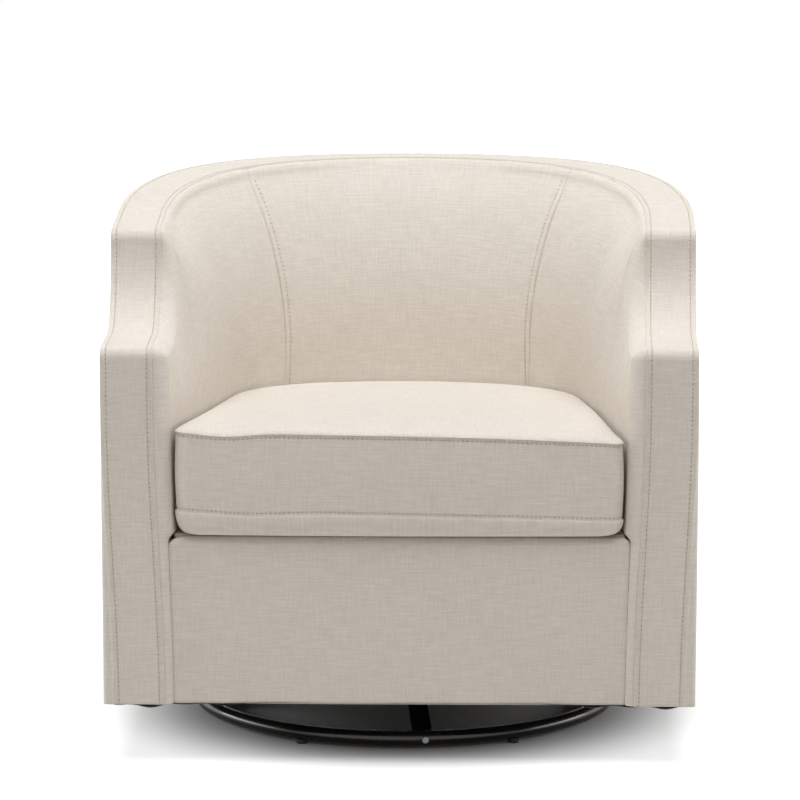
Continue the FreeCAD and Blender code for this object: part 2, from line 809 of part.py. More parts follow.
# Heights of the swivel stack, counted down from the cross rails
upper_plate_z = frame_bottom_z - plate_thickness
upper_race_z = upper_plate_z - race_thickness
ball_z = upper_race_z - race_gap / 2
lower_race_z = ball_z - race_gap / 2 - race_thickness
lower_plate_z = lower_race_z - plate_thickness
washer_z = upper_plate_z + plate_thickness + washer_clearance
tee_nut_z = frame_bottom_z + cross_rail_height
ring_z = glide_height + ring_tube_radius
spring_z = seat_rail_top_z + clip_thickness + spring_wire_radius
screw_holes = group([turned(screw_shank(screw_radius), a) for a in spoke_angles()])

slats = back_slats()
posts = front_posts()
seat_sides = side_rails(seat_rail_top_z - front_rail_height, deck_bottom_z)
seat_front = front_rail(seat_rail_top_z - front_rail_height, seat_rail_top_z)
bottom_front = front_rail(frame_bottom_z, frame_bottom_z + front_rail_height)
band = body_wall(0, band_width, body_bottom_z, back_top_z).common(top).cut(under_band)
covers = body_wall(0, cover_thickness, body_bottom_z, back_top_z).common(under_band)
pads = inner_pads()
cushion_block = cushion_solid(0)
filling = cushion_solid(cushion_wall)
arm_left, arm_right = arm_panels()
band_back, band_left, band_right = split_at_seams(band)
outside_back, outside_left, outside_right = split_at_seams(covers)
inside_back, wing_left, wing_right = split_at_seams(pads)

nodes = {
    "base_ring": base_ring(),
    "base_spokes": base_spokes(),
    "spoke_screws": spoke_screws(),
    "ring_glides": ring_glides(),
    "swivel_lower_plate": swivel_plate(lower_plate_z),
    "lower_race": race(lower_race_z, ball_z),
    "bearing_balls": around(ball_count, race_radius, ball_at),
    "ball_cage": ball_cage(),
    "king_pin": king_pin(),
    "king_pin_washer": washer(),
    "king_pin_nut": king_pin_nut(),
    "upper_race": race(upper_race_z, ball_z),
    "swivel_upper_plate": upper_plate(),
    "plate_bolts": plate_bolts(),
    "tee_nuts": tee_nuts(),
    "cross_rails": cross_rails(),
    "bottom_front_rail": bottom_front,
    "bottom_back_rail": straight_back_rail(frame_bottom_z, frame_bottom_z + bottom_rail_height),
    "bottom_side_rails": side_rails(frame_bottom_z, frame_bottom_z + bottom_rail_height),
    "corner_blocks": corner_blocks(),
    "front_posts": posts,
    "arm_panel_left": arm_left,
    "arm_panel_right": arm_right,
    "back_lower_rail": curved_rail(frame_bottom_z, frame_bottom_z + back_rail_height),
    "back_middle_rail": curved_rail(seat_rail_top_z - back_rail_height, seat_rail_top_z),
    "back_top_rail": back_top_rail(),
    "back_slats": slats,
    "seat_front_rail": seat_front,
    "seat_back_rail": straight_back_rail(seat_rail_top_z - front_rail_height, seat_rail_top_z),
    "seat_side_rails": seat_sides,
    "seat_springs": seat_springs(),
    "spring_clips": spring_clips(),
    "spring_tie_wires": spring_tie_wires(),
    "seat_deck": seat_deck(),
    "inside_back": inside_back,
    "inside_wing_left": wing_left,
    "inside_wing_right": wing_right,
    "outside_back": outside_back,
    "outside_arm_left": outside_left,
    "outside_arm_right": outside_right,
    "band_back": band_back,
    "band_left": band_left,
    "band_right": band_right,
    "front_apron": front_apron(),
    "dust_cover": dust_cover(),
    "cushion_cover": cushion_block.cut(filling),
    "cushion_foam": filling,
    "cushion_zipper": cushion_zipper(),
    "zip_slider": zip_slider(),
}

for name, shape in nodes.items():
    shape.exportStep("parts/" + name + ".step")
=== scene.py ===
import json
import math

import bmesh
import bpy
import numpy as np
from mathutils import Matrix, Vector


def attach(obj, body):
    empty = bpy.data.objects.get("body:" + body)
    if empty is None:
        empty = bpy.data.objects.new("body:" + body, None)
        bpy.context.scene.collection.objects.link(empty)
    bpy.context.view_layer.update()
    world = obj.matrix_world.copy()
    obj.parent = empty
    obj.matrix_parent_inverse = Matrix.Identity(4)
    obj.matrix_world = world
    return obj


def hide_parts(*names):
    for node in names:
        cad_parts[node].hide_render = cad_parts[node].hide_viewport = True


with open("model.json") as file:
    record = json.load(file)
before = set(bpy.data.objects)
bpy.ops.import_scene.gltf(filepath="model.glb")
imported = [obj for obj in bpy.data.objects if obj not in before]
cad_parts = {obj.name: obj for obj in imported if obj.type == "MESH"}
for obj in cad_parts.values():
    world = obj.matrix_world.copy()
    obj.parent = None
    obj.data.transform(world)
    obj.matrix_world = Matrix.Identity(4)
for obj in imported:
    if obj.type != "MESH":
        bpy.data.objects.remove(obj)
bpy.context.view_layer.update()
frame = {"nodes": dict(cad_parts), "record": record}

MM = 0.001
TAU = 2 * math.pi

# Body sizes in millimetres, as in the CAD part
body_half_width = 380.0
front_half_width = 368.0
front_y = -362.0
back_y = 371.0
body_corner_x = 30.0
body_crown = 9.0
bottom_z = 78.0
arm_top_z = 525.0
back_top_z = 704.0
edge_radius = 14.0
riser_y = -125.0
shoulder_radius = 16.0
wing_slope = math.radians(2.9)
crest_slope = math.radians(14.5)
crest_y = 50.0
blend_radius = 330.0
band_width = 64.5
deck_top_z = 290.7
seat_front_x = 281.0
seat_widest = 236.5
seat_back_y = 211.0
seat_corner_x = 46.5
seat_crown = 4.5
wing_lean_height = 200.0
back_lean_height = 245.0
arm_lean_height = 200.0

# Sewing
stitch_row = 6.5               # from each seam to its row of stitches
stitch_pitch = 5.7
stitch_length = 4.3
thread_radius = 0.42
stitch_lift = np.array([-0.75, 0.05, 0.3, 0.05, -0.75])    # along a stitch, in thread radii
stitch_taper = np.array([0.55, 1.0, 1.05, 1.0, 0.55])
seam_depth = 1.3
seam_reach = 2.2
row_depth, row_reach = 0.55, 1.1
puff_height, puff_at, puff_reach = 0.45, 3.9, 1.3
edge_roll = 5.0


# Small helpers for numbers and coordinates
def smoothstep(t):
    t = np.clip(t, 0, 1)
    return t * t * (3 - 2 * t)


# 1 at distance 0, and gone beyond its reach
def hump(distance, reach):
    return np.exp(-(distance / reach) ** 2)


# Sum of waves over two coordinates: height, turns along each, and start
def waves(u, v, *terms):
    return sum(high * np.sin(a * u + b * v + start) for high, a, b, start in terms)


# Coordinates side by side on the last axis
def joined(*values):
    return np.stack(np.broadcast_arrays(*values), -1)


# Curves in plan and profile, with points about this far apart
arc_step, line_step = 1.0, 4.0


def arc_points(cx, cy, radius, start, end):
    count = max(3, int(abs(end - start) * radius / arc_step) + 2)
    angles = np.linspace(start, end, count)
    return np.stack([cx + radius * np.cos(angles), cy + radius * np.sin(angles)], 1)


def line_points(a, b):
    count = max(2, int(math.dist(a, b) / line_step) + 2)
    return np.linspace(a, b, count)


# The top line in side view as points (y, z), from the foot of the arm front to the back's top
def top_profile():
    crest_radius = (back_y - crest_y) / math.sin(crest_slope)
    crest = (back_y, back_top_z - crest_radius)
    far = crest_radius + blend_radius
    blend = (crest[0] + far * math.cos(math.pi / 2 + crest_slope),
             crest[1] + far * math.sin(math.pi / 2 + crest_slope))
    start = (blend[0] + blend_radius * math.cos(wing_slope - math.pi / 2),
             blend[1] + blend_radius * math.sin(wing_slope - math.pi / 2))
    shoulder_y = riser_y + shoulder_radius
    touch_y = shoulder_y - shoulder_radius * math.sin(wing_slope)
    touch_z = start[1] - (start[0] - touch_y) * math.tan(wing_slope)
    shoulder_z = touch_z - shoulder_radius * math.cos(wing_slope)
    foot_radius = shoulder_z - arm_top_z
    foot_y = riser_y - foot_radius
    half = math.pi / 2
    pieces = [
        line_points((front_y, bottom_z), (front_y, arm_top_z - edge_radius)),
        arc_points(front_y + edge_radius, arm_top_z - edge_radius, edge_radius, math.pi, half),
        line_points((front_y + edge_radius, arm_top_z), (foot_y, arm_top_z)),
        arc_points(foot_y, shoulder_z, foot_radius, -half, 0),
        arc_points(shoulder_y, shoulder_z, shoulder_radius, math.pi, half + wing_slope),
        line_points((touch_y, touch_z), start),
        arc_points(blend[0], blend[1], blend_radius, wing_slope - half, crest_slope - half),
        arc_points(crest[0], crest[1], crest_radius, half + crest_slope, half)]
    points = np.concatenate(pieces)
    keep = np.concatenate([[True], np.linalg.norm(np.diff(points, axis=0), axis=1) > 1e-6])
    return points[keep], touch_z, start[1]


profile, arm_pad_top_z, wing_top_z = top_profile()
profile_length = np.concatenate([[0], np.cumsum(np.linalg.norm(np.diff(profile, axis=0), axis=1))])
front_top = arm_top_z - bottom_z - edge_radius


def height(y):
    top = profile[profile_length > front_top]
    return np.interp(y, top[:, 0], top[:, 1])


# Plan outline of one side, from the front to the middle of the back
class Plan:
    def __init__(self, front_x, widest, plan_back_y, corner_x, crown):
        self.radius = widest - corner_x
        self.cx = corner_x
        self.cy = plan_back_y - crown - self.radius
        across = front_x - self.cx
        along = self.cy - front_y
        self.heading = math.asin(self.radius / math.hypot(across, along)) - math.atan2(across, along)
        drop = self.cy - plan_back_y
        self.back_radius = (self.radius ** 2 - self.cx ** 2 - drop ** 2) / (2 * (drop + self.radius))
        self.back_cy = plan_back_y - self.back_radius
        self.join = math.atan2(self.cy - self.back_cy, self.cx)

    def side_x(self, y, inset=0.0):
        tx = self.cx + (self.radius - inset) * math.cos(self.heading)
        ty = self.cy - (self.radius - inset) * math.sin(self.heading)
        return tx - (ty - y) * math.tan(self.heading)

    # Points at shares of the way: 0 at split_y, 1 on the seam angle, 2 in the middle of the back
    def along(self, shares, inset=0.0):
        radius = self.radius - inset
        start = (self.side_x(split_y, inset), split_y)
        tangent = (self.cx + radius * math.cos(self.heading), self.cy - radius * math.sin(self.heading))
        points = np.concatenate([
            line_points(start, tangent),
            arc_points(self.cx, self.cy, radius, -self.heading, self.join)[1:],
            arc_points(0, self.back_cy, self.back_radius - inset, self.join, math.pi / 2)[1:]])
        length = np.concatenate([[0], np.cumsum(np.linalg.norm(np.diff(points, axis=0), axis=1))])
        side = points[:, 1] - points[:, 0]
        k = int(np.argmax(side > 0))
        share = side[k - 1] / (side[k - 1] - side[k])
        seam = length[k - 1] + share * (length[k] - length[k - 1])
        where = np.where(shares <= 1, shares * seam, seam + (shares - 1) * (length[-1] - seam))
        return np.stack([np.interp(where, length, points[:, i]) for i in (0, 1)], -1)


split_y = -60.0
body = Plan(front_half_width, body_half_width, back_y, body_corner_x, body_crown)


def lean(depth, thickness, lean_height):
    radius = (thickness ** 2 + lean_height ** 2) / (2 * thickness)
    left = np.clip(lean_height - depth, 0.0, lean_height)
    share = 1 - (thickness - radius + np.sqrt(radius ** 2 - left ** 2)) / thickness
    steepness = lean_height / math.sqrt(radius ** 2 - lean_height ** 2)
    return share + np.maximum(-depth, 0) * steepness / thickness


def seat_plan(z):
    side_travel = body_half_width - band_width - seat_widest
    back_travel = back_y - band_width - seat_back_y
    front_travel = body.side_x(riser_y, band_width) - seat_front_x
    side = lean(wing_top_z - z, side_travel, wing_lean_height)
    back = lean(back_top_z - z, back_travel, back_lean_height)
    front = lean(arm_pad_top_z - z, front_travel, arm_lean_height)
    radius = seat_widest - seat_corner_x
    radius += (body_half_width - body_corner_x - band_width - radius) * (side + back) / 2
    widest = seat_widest + side_travel * side
    return Plan(seat_front_x + front_travel * front, widest, seat_back_y + back_travel * back,
                widest - radius, seat_crown + (body_crown - seat_crown) * back)


# Mesh helpers
weld_distance = 0.03 * MM
no_row, row_far = 1000.0, 900.0    # row coordinates of grids without stitches, and of places away from them


class Cloth:
    def __init__(self):
        self.points, self.faces, self.uvs, self.rows, self.count = [], [], [], [], 0

    # A grid of points (n, m, 3) with cloth coordinates and stitch-row coordinates (n, m, 2)
    def grid(self, points, uv, row=None, flip=False):
        n, m = points.shape[:2]
        row = np.full((n, m, 2), no_row) if row is None else row
        index = np.arange(n * m).reshape(n, m) + self.count
        quads = joined(index[:-1, :-1], index[1:, :-1], index[1:, 1:], index[:-1, 1:]).reshape(-1, 4)
        self.points.append(points.reshape(-1, 3))
        self.uvs.append(uv.reshape(-1, 2))
        self.rows.append(row.reshape(-1, 2))
        self.faces.append(quads[:, ::-1] if flip else quads)
        self.count += n * m

    # The same grids mirrored to the -X side
    def mirror(self):
        points = np.concatenate(self.points) * (-1, 1, 1)
        uv = np.concatenate(self.uvs) * (-1, 1)
        faces = np.concatenate(self.faces)[:, ::-1] + self.count
        self.points.append(points)
        self.uvs.append(uv)
        self.rows.append(np.concatenate(self.rows))
        self.faces.append(faces)
        self.count *= 2

    # Put on the right, the left or both sides
    def place(self, side):
        if side == "both":
            self.mirror()
        if side == "left":
            self.points = [p * (-1, 1, 1) for p in self.points]
            self.uvs = [u * (-1, 1) for u in self.uvs]
            self.faces = [f[:, ::-1] for f in self.faces]

    def build(self, name, material, body_name):
        points = np.concatenate(self.points) * MM
        faces = np.concatenate(self.faces)
        mesh = bpy.data.meshes.new(name)
        mesh.vertices.add(len(points))
        mesh.vertices.foreach_set("co", points.ravel())
        mesh.loops.add(faces.size)
        mesh.loops.foreach_set("vertex_index", faces.ravel())
        mesh.polygons.add(len(faces))
        mesh.polygons.foreach_set("loop_start", np.arange(0, faces.size, 4))
        mesh.update()
        for label, values in (("cloth", self.uvs), ("rows", self.rows)):
            layer = mesh.uv_layers.new(name=label)
            flat = np.concatenate(values)[faces.ravel()] * MM
            layer.data.foreach_set("uv", flat.ravel())
        mesh.validate()
        obj = new_object(name, mesh, material)
        weld_points(obj, weld_distance)
        smooth(obj)
        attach(obj, body_name)
        return obj


def new_object(name, mesh, material):
    obj = bpy.data.objects.new(name, mesh)
    bpy.context.scene.collection.objects.link(obj)
    obj.data.materials.append(material)
    return obj


def weld_points(obj, distance):
    work = bmesh.new()
    work.from_mesh(obj.data)
    bmesh.ops.remove_doubles(work, verts=work.verts, dist=distance)
    work.to_mesh(obj.data)
    work.free()


def smooth(obj):
    obj.data.polygons.foreach_set("use_smooth", np.ones(len(obj.data.polygons), bool))
    obj.data.update()


def unit(v):
    return v / np.maximum(np.linalg.norm(v, axis=-1, keepdims=True), 1e-9)


def grid_normals(points):
    return unit(np.cross(np.gradient(points, axis=0), np.gradient(points, axis=1)))


def lengths(points, axis):
    steps = np.linalg.norm(np.diff(points, axis=axis), axis=-1)
    total = np.cumsum(steps, axis=axis)
    start = np.zeros_like(np.take(total, [0], axis=axis))
    return np.concatenate([start, total], axis=axis)


# Even steps of about a given size
def spread(start, end, step):
    return np.linspace(start, end, max(2, int(round(abs(end - start) / step)) + 1))


# How far a seam pulls the cloth in, at a distance from the seam, with its stitch row and the puff beside it
def seam_dip(distance, row=True):
    dip = -seam_depth * np.clip(1 - distance / seam_reach, 0, 1) ** 2
    if row:
        dip = dip - row_depth * hump(distance - stitch_row, row_reach)
        dip = dip + puff_height * hump(distance - puff_at, puff_reach)
    return dip


# Stitches along paths of points with normals
def stitches(name, paths, body_name):
    points, faces = [], []
    sides, rings = 6, len(stitch_taper)
    turn = np.arange(sides) * TAU / sides
    spot = np.arange(rings * sides).reshape(rings, sides)
    after = np.roll(spot, -1, 1)
    tube = joined(spot[:-1], after[:-1], after[1:], spot[1:]).reshape(-1, 4).tolist()
    tube += [spot[0, ::-1].tolist(), spot[-1].tolist()]
    for path, normals in paths:
        length = lengths(path, 0)
        for k in range(int(length[-1] / stitch_pitch)):
            at = (k + 0.5) * stitch_pitch + np.linspace(-0.5, 0.5, rings) * stitch_length
            centre = np.stack([np.interp(at, length, path[:, i]) for i in range(3)], -1)
            up = unit(np.stack([np.interp(at, length, normals[:, i]) for i in range(3)], -1))
            across = np.cross(unit(np.gradient(centre, axis=0)), up)
            centre = centre + up * stitch_lift[:, None] * thread_radius
            ring = across[:, None] * np.cos(turn)[:, None] + up[:, None] * np.sin(turn)[:, None]
            ring = centre[:, None] + ring * thread_radius * stitch_taper[:, None, None]
            first = len(points) * rings * sides
            points.append(ring.reshape(-1, 3))
            faces += [[first + corner for corner in face] for face in tube]
    mesh = bpy.data.meshes.new(name)
    mesh.from_pydata((np.concatenate(points) * MM).tolist(), [], faces)
    obj = new_object(name, mesh, thread)
    smooth(obj)
    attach(obj, body_name)


def mirror_path(path):
    return tuple(values * (-1, 1, 1) for values in path)


# Materials
class Nodes:
    def __init__(self, name, owner=None, output="ShaderNodeOutputMaterial"):
        self.owner = owner or bpy.data.materials.new(name)
        self.owner.use_nodes = True
        self.tree = self.owner.node_tree
        self.tree.nodes.clear()
        self.output = self.node(output)

    def node(self, kind, **settings):
        made = self.tree.nodes.new(kind)
        for key, value in settings.items():
            setattr(made, key, value)
        return made

    # Feeds inputs by place or by name, from sockets or with plain values
    def feed(self, made, *values, **named):
        pairs = list(zip(made.inputs, values))
        pairs += [(made.inputs[key.replace("_", " ")], value) for key, value in named.items()]
        for socket, value in pairs:
            if isinstance(value, bpy.types.NodeSocket):
                self.tree.links.new(value, socket)
            elif value is not None:
                socket.default_value = value
        return made.outputs[0]

    def math(self, operation, *values, clamp=False):
        return self.feed(self.node("ShaderNodeMath", operation=operation, use_clamp=clamp), *values)

    def plus(self, first, *others):
        for value in others:
            first = self.math("ADD", first, value)
        return first

    def times(self, a, b):
        return self.math("MULTIPLY", a, b)

    def uv(self, name):
        return self.node("ShaderNodeUVMap", uv_map=name).outputs[0]

    def place(self):
        return self.node("ShaderNodeTexCoord").outputs["Object"]

    def split(self, vector):
        made = self.node("ShaderNodeSeparateXYZ")
        self.feed(made, vector)
        return made.outputs

    # Noise with its own scale along each axis, moved by an offset
    def noise(self, vector, scale, offset=(0, 0, 0), detail=2.0, roughness=0.5):
        scale = scale if isinstance(scale, tuple) else (scale, scale, scale)
        scaled = self.feed(self.node("ShaderNodeMapping"), vector, Scale=scale, Location=offset)
        made = self.node("ShaderNodeTexNoise")
        self.feed(made, scaled, Scale=1.0, Detail=detail, Roughness=roughness)
        return made.outputs["Fac"]

    def ramp(self, value, low, high, out_low=0.0, out_high=1.0):
        made = self.node("ShaderNodeMapRange", interpolation_type="SMOOTHSTEP")
        return self.feed(made, value, low, high, out_low, out_high)

    def mix(self, factor, a, b):
        made = self.node("ShaderNodeMix", data_type="RGBA")
        self.feed(made, factor, *[None] * 5, a, b)
        return made.outputs[2]

    def bump(self, relief, distance, strength=1.0):
        return self.feed(self.node("ShaderNodeBump"), Strength=strength, Distance=distance, Height=relief)

    def finish(self, shader):
        self.tree.links.new(shader, self.output.inputs[0])
        return self.owner

    def surface(self, colour, roughness, normal, **uniform):
        named = dict(Base_Color=colour, Roughness=roughness, Normal=normal, **uniform)
        return self.finish(self.feed(self.node("ShaderNodeBsdfPrincipled"), **named))


def rgba(colour, factor=1.0):
    return (colour[0] * factor, colour[1] * factor, colour[2] * factor, 1.0)


cream = (0.80, 0.735, 0.655)


# Plain linen-look weave: slubs along both threads, a fine over-and-under with painted shade in its hollows,
# and stitch holes bumped in and darkened with painted shade where the stitches go in
weave_pitch = 1.3
weave_relief = 0.35
# colour of the painted shade in the stitch holes
hole_shade_colour = (0.33, 0.20, 0.11)


def linen(name, colour=cream, rows=True):
    n = Nodes(name)
    uv = n.uv("cloth")
    weft = n.noise(uv, (38.0, 620.0, 1.0), detail=3.0, roughness=0.6)
    warp = n.noise(uv, (560.0, 42.0, 1.0), (3.1, 7.7, 0), detail=3.0, roughness=0.6)
    slub = n.noise(uv, (26.0, 420.0, 1.0), (9.3, 1.9, 0), detail=1.0)
    slub_up = n.noise(uv, (400.0, 28.0, 1.0), (5.3, 4.1, 0), detail=1.0)
    cloudy = n.noise(uv, (9.0, 9.0, 1.0))
    threads = [n.math("SINE", n.times(axis, TAU / (weave_pitch * MM))) for axis in n.split(uv)[:2]]
    over = n.times(*threads)
    relief = n.plus(n.times(n.plus(weft, warp), 1.2), n.times(over, 0.16),
                    n.times(n.plus(slub, slub_up), 0.7))
    # the over-and-under term also lightens the raised crossings and darkens the hollows: painted shade on
    # the weave
    tone = n.plus(n.ramp(weft, 0.3, 0.7, -0.055, 0.035), n.ramp(warp, 0.3, 0.7, -0.045, 0.028),
                  n.ramp(slub, 0.35, 0.72, -0.035, 0.035), n.ramp(slub_up, 0.35, 0.72, -0.022, 0.022),
                  n.ramp(cloudy, 0.3, 0.7, -0.008, 0.008), n.times(over, 0.02))
    shade = n.mix(n.math("ADD", tone, 0.5, clamp=True), rgba(colour, 0.60), rgba(colour, 1.40))
    if rows:
        along, off = n.split(n.uv("rows"))[:2]
        off = n.math("ABSOLUTE", off)
        step = n.math("FRACT", n.math("DIVIDE", along, stitch_pitch * MM))
        end = n.ramp(n.math("ABSOLUTE", n.math("SUBTRACT", step, 0.5)), 0.36, 0.45)
        hole_and_shade = n.times(end, n.ramp(off, 1.15 * MM, 0.35 * MM))
        pull = n.times(n.ramp(off, 4.2 * MM, 0.6 * MM), end)
        # painted shade: the stitch holes darkened towards brown, as their shadow
        shade = n.mix(n.times(hole_and_shade, 0.55), shade, rgba(hole_shade_colour))
        relief = n.math("SUBTRACT", relief, n.plus(n.times(hole_and_shade, 5.0), n.times(pull, 0.9)))
    return n.surface(shade, n.ramp(weft, 0.2, 0.8, 0.94, 0.84), n.bump(relief, weave_relief * MM, 0.8),
                     Sheen_Weight=0.12, Sheen_Roughness=0.5, Specular_IOR_Level=0.25)


fabric = linen("linen")
cushion_fabric = linen("linen_cushion")


def thread_material():
    n = Nodes("thread")
    ply = n.noise(n.place(), 900.0)
    shade = n.mix(ply, (0.50, 0.41, 0.32, 1), (0.70, 0.60, 0.49, 1))
    return n.surface(shade, 0.7, n.bump(ply, 0.15 * MM), Sheen_Weight=0.1)


thread = thread_material()

# Stations along the sewn band: points of the side view up to split_y, then shares of the way round
station_step = 1.9
row_step = 3.0
past_front = profile_length > front_top
side_length = float(np.interp(split_y, profile[past_front, 0], profile_length[past_front]))
pad_bottom = deck_top_z - 5
low_z = spread(bottom_z, pad_bottom, row_step)
high_z = spread(pad_bottom, arm_top_z - edge_radius, row_step)
side_at = np.concatenate([low_z - bottom_z, high_z[1:] - bottom_z,
                          spread(front_top, side_length, station_step)[1:]])
side_y = np.interp(side_at, profile_length, profile[:, 0])
side_z = np.interp(side_at, profile_length, profile[:, 1])
side_turn = np.gradient(joined(side_y, side_z), side_at, axis=0)
side_normal = unit(joined(-side_turn[:, 1], side_turn[:, 0]))
upright = np.clip((side_y + 100) / (split_y + 100), 0, 1)[:, None] * (side_z > arm_top_z + 20)[:, None]
side_normal = unit(side_normal * (1 - upright) + np.array([0.0, 1.0]) * upright)
near_seam = np.array([0.6, 1.2, 1.9, 2.6, 3.3, 4.1, 4.9, 5.6, 6.1, 6.5, 6.9, 7.4, 8.3, 9.5, 11.5, 13.5])
near_reach = 15.5              # finer stations this close to the seam, in millimetres
wing_span, back_span = 330.0, 235.0
wing_step, back_step = 0.0062, 0.0085
round_share = np.concatenate([
    spread(0, 1 - near_reach / wing_span, wing_step)[1:], 1 - near_seam[::-1] / wing_span, [1.0],
    1 + near_seam / back_span, spread(1 + near_reach / back_span, 2, back_step)])
side_count = len(side_at)
corner_index = len(low_z) + len(high_z) - 2


# The seams wander inward at the foot of the arm fronts
foot_shift = 12.0
shift_top_z, shift_depth = 450.0, 370.0


def seam_shift(z):
    return foot_shift * smoothstep((shift_top_z - z) / shift_depth)


# Points for insets (n, m) and heights (n, m) over the stations
def station_points(inset, lift):
    inset, lift = np.broadcast_arrays(inset, lift)
    y = side_y[:, None] + side_normal[:, :1] * lift[:side_count]
    z = side_z[:, None] + side_normal[:, 1:] * lift[:side_count]
    side = joined(body.side_x(y, inset[:side_count]), y, z)
    columns = []
    for j in range(inset.shape[1]):
        plan = body.along(round_share, float(inset[-1, j]))
        columns.append(np.concatenate([plan, (height(plan[:, 1]) + lift[side_count:, j])[:, None]], 1))
    return np.concatenate([side, np.stack(columns, 1)])


# The rounded corner between band and outer cover: 0 on its middle, negative towards the band
def corner_path(u):
    half = edge_roll * math.pi / 4
    phi = math.pi / 4 + np.clip(u, -half, half) / edge_roll
    inset = edge_roll * (1 - np.sin(phi)) + np.maximum(-u - half, 0)
    lift = -edge_roll * (1 - np.cos(phi)) - np.maximum(u - half, 0)
    return inset, lift


all_shift = np.concatenate([seam_shift(side_z), np.zeros(len(round_share))])[:, None]
band_reach = band_width - edge_roll + edge_roll * math.pi / 4
close = np.array([0.0, 0.6, 1.2, 1.9, 2.6, 3.3, 4.1, 4.9, 5.6, 6.1, 6.5, 6.9, 7.4, 8.3, 9.5])
band_t = np.concatenate([close, np.linspace(12.5, band_reach - 12.5, 14), (band_reach - close)[::-1]])
band_inset, band_lift = corner_path(-all_shift - band_t[None])
band_grid = station_points(band_inset, band_lift)
band_at = lengths(band_grid, 0)
wave = 0.25 * np.sin(band_at / 41.0 + 1.3) + 0.2 * np.sin(band_at / 23.0 + 4.0)
bulge = np.clip(np.sin(math.pi * (band_t - stitch_row) / (band_reach - 2 * stitch_row)), 0, 1)
band_dip = seam_dip(np.minimum(band_t, band_reach - band_t)) + 1.1 * bulge
band_surface = band_grid - grid_normals(band_grid) * (band_dip[None] + wave * bulge[None])[..., None]
row_outer = int(np.argmin(np.abs(band_t - stitch_row)))
row_inner = int(np.argmin(np.abs(band_t - (band_reach - stitch_row))))
outer_side = band_t < band_reach / 2
band_off = np.where(outer_side, band_t - stitch_row, band_t - (band_reach - stitch_row))
band_rows = np.where(outer_side[None], band_at[:, [row_outer]], band_at[:, [row_inner]])
band_rows = joined(band_rows, np.broadcast_to(band_off, band_rows.shape))
middle_at = band_at[:, [len(band_t) // 2]]
band_uv = joined(band_t, middle_at)


# Rows that turn an edge at the body's bottom under the frame
hem_depths = (11.0, 3.5, 0.8)
hem_drops = (1.6, 1.3, 0.5)
backward = np.array([0.0, 1.0, 0.0])


def turn_under(surface, uv, inward):
    rows = [surface[:1] + inward * depth for depth in hem_depths]
    for row, drop in zip(rows, hem_drops):
        row[..., 2] = bottom_z - drop
    uvs = [uv[:1] - (0, depth) for depth in hem_depths]
    return np.concatenate(rows + [surface]), np.concatenate(uvs + [uv])


band_all, band_uv_all = turn_under(band_surface, band_uv, backward)
band_rows_all = np.concatenate([np.full((len(hem_drops),) + band_rows.shape[1:], row_far), band_rows])
band = Cloth()
band.grid(band_all, band_uv_all, band_rows_all)
band.mirror()
band_piece = band.build("top_band", fabric, "chair")
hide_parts("band_left", "band_back", "band_right")

surface_normals = -grid_normals(band_surface)
outer_row = (band_surface[:, row_outer], surface_normals[:, row_outer])
inner_row = (band_surface[:, row_inner], surface_normals[:, row_inner])
stitches("band_stitches", [outer_row, mirror_path(outer_row), inner_row, mirror_path(inner_row)],
         "chair")

# Outer covers: the rounded corner beside the band, then down the side
cover_depth = 12.5
cover_end = edge_roll * math.pi / 4 + cover_depth - edge_roll
cover_share = np.array([0, 0.035, 0.07, 0.11, 0.16, 0.22, 0.29, 0.37, 0.46, 0.56, 0.67, 0.78, 0.89, 1.0])
cover_u = -all_shift + (cover_end + all_shift) * cover_share[None]
cover_inset, cover_lift = corner_path(cover_u)
cover_grid = station_points(cover_inset, cover_lift)
cover_dip = seam_dip(cover_u + all_shift, row=False)
cover_corner = cover_grid + grid_normals(cover_grid) * cover_dip[..., None]
cover_corner[:, 0] = band_surface[:, 0]
inner_edge = cover_grid[corner_index:, -1]


# Sides pull in a little between the seams and at the bottom
def cover_swell(z, top):
    share = np.clip((z - bottom_z) / np.maximum(top - bottom_z, 1), 0, 1)
    return 1.6 * np.sin(math.pi * share) - 1.2 * hump(z - bottom_z, 14.0)


# Depths and heights for columns that run down from an upper edge, spread evenly where the step climbs
side_columns = side_count - corner_index


def column_places(levels, edge):
    share = ((levels - levels[0]) / (levels[-1] - levels[0]))[:, None]
    z = levels[0] + share * (edge[:, 2] - levels[0])[None]
    path = lengths(joined(side_y, side_z)[corner_index:], 0)
    feet = edge[0, 1] + (split_y - edge[0, 1]) * path / path[-1]
    return feet[None] + (edge[None, :side_columns, 1] - feet[None]) * share, z


# Columns from the corner strip down, with rows that match the front strip's stations
def cover_columns():
    levels = np.concatenate([low_z, high_z[1:]])
    side, z = column_places(levels, inner_edge)
    far = np.broadcast_to(inner_edge[side_columns:], (len(z), len(round_share), 3))
    points = np.stack([np.concatenate([body.side_x(side), far[..., 0]], 1),
                       np.concatenate([side, far[..., 1]], 1), z], -1)
    across = np.gradient(points[0], axis=0)
    normal = unit(joined(across[:, 1], -across[:, 0], np.zeros(len(across))))
    return points, normal, z, inner_edge[:, 2]


cover_points, cover_out, cover_z, cover_top = cover_columns()
cover_at = lengths(cover_points[:1], 1)[0]
seam_column = side_columns + int(np.argmin(np.abs(round_share - 1)))
from_seam = np.abs(cover_at - cover_at[seam_column])
side_fade = np.clip(cover_at / 25.0, 0, 1)
top_fade = np.clip((cover_top[None] - cover_z) / 30.0, 0, 1)
ripple = 0.5 * np.sin(cover_at / 57.0 + 0.6)[None] * np.sin(cover_z / 61.0)
cover_push = (cover_swell(cover_z, cover_top[None]) + ripple) * side_fade[None] * top_fade
cover_push = cover_push + seam_dip(from_seam, row=False)[None]
cover_points = cover_points + cover_out[None] * cover_push[..., None]
cover_uv = joined(cover_at[None], cover_z)
corner_uv = joined(cover_u + all_shift, middle_at)


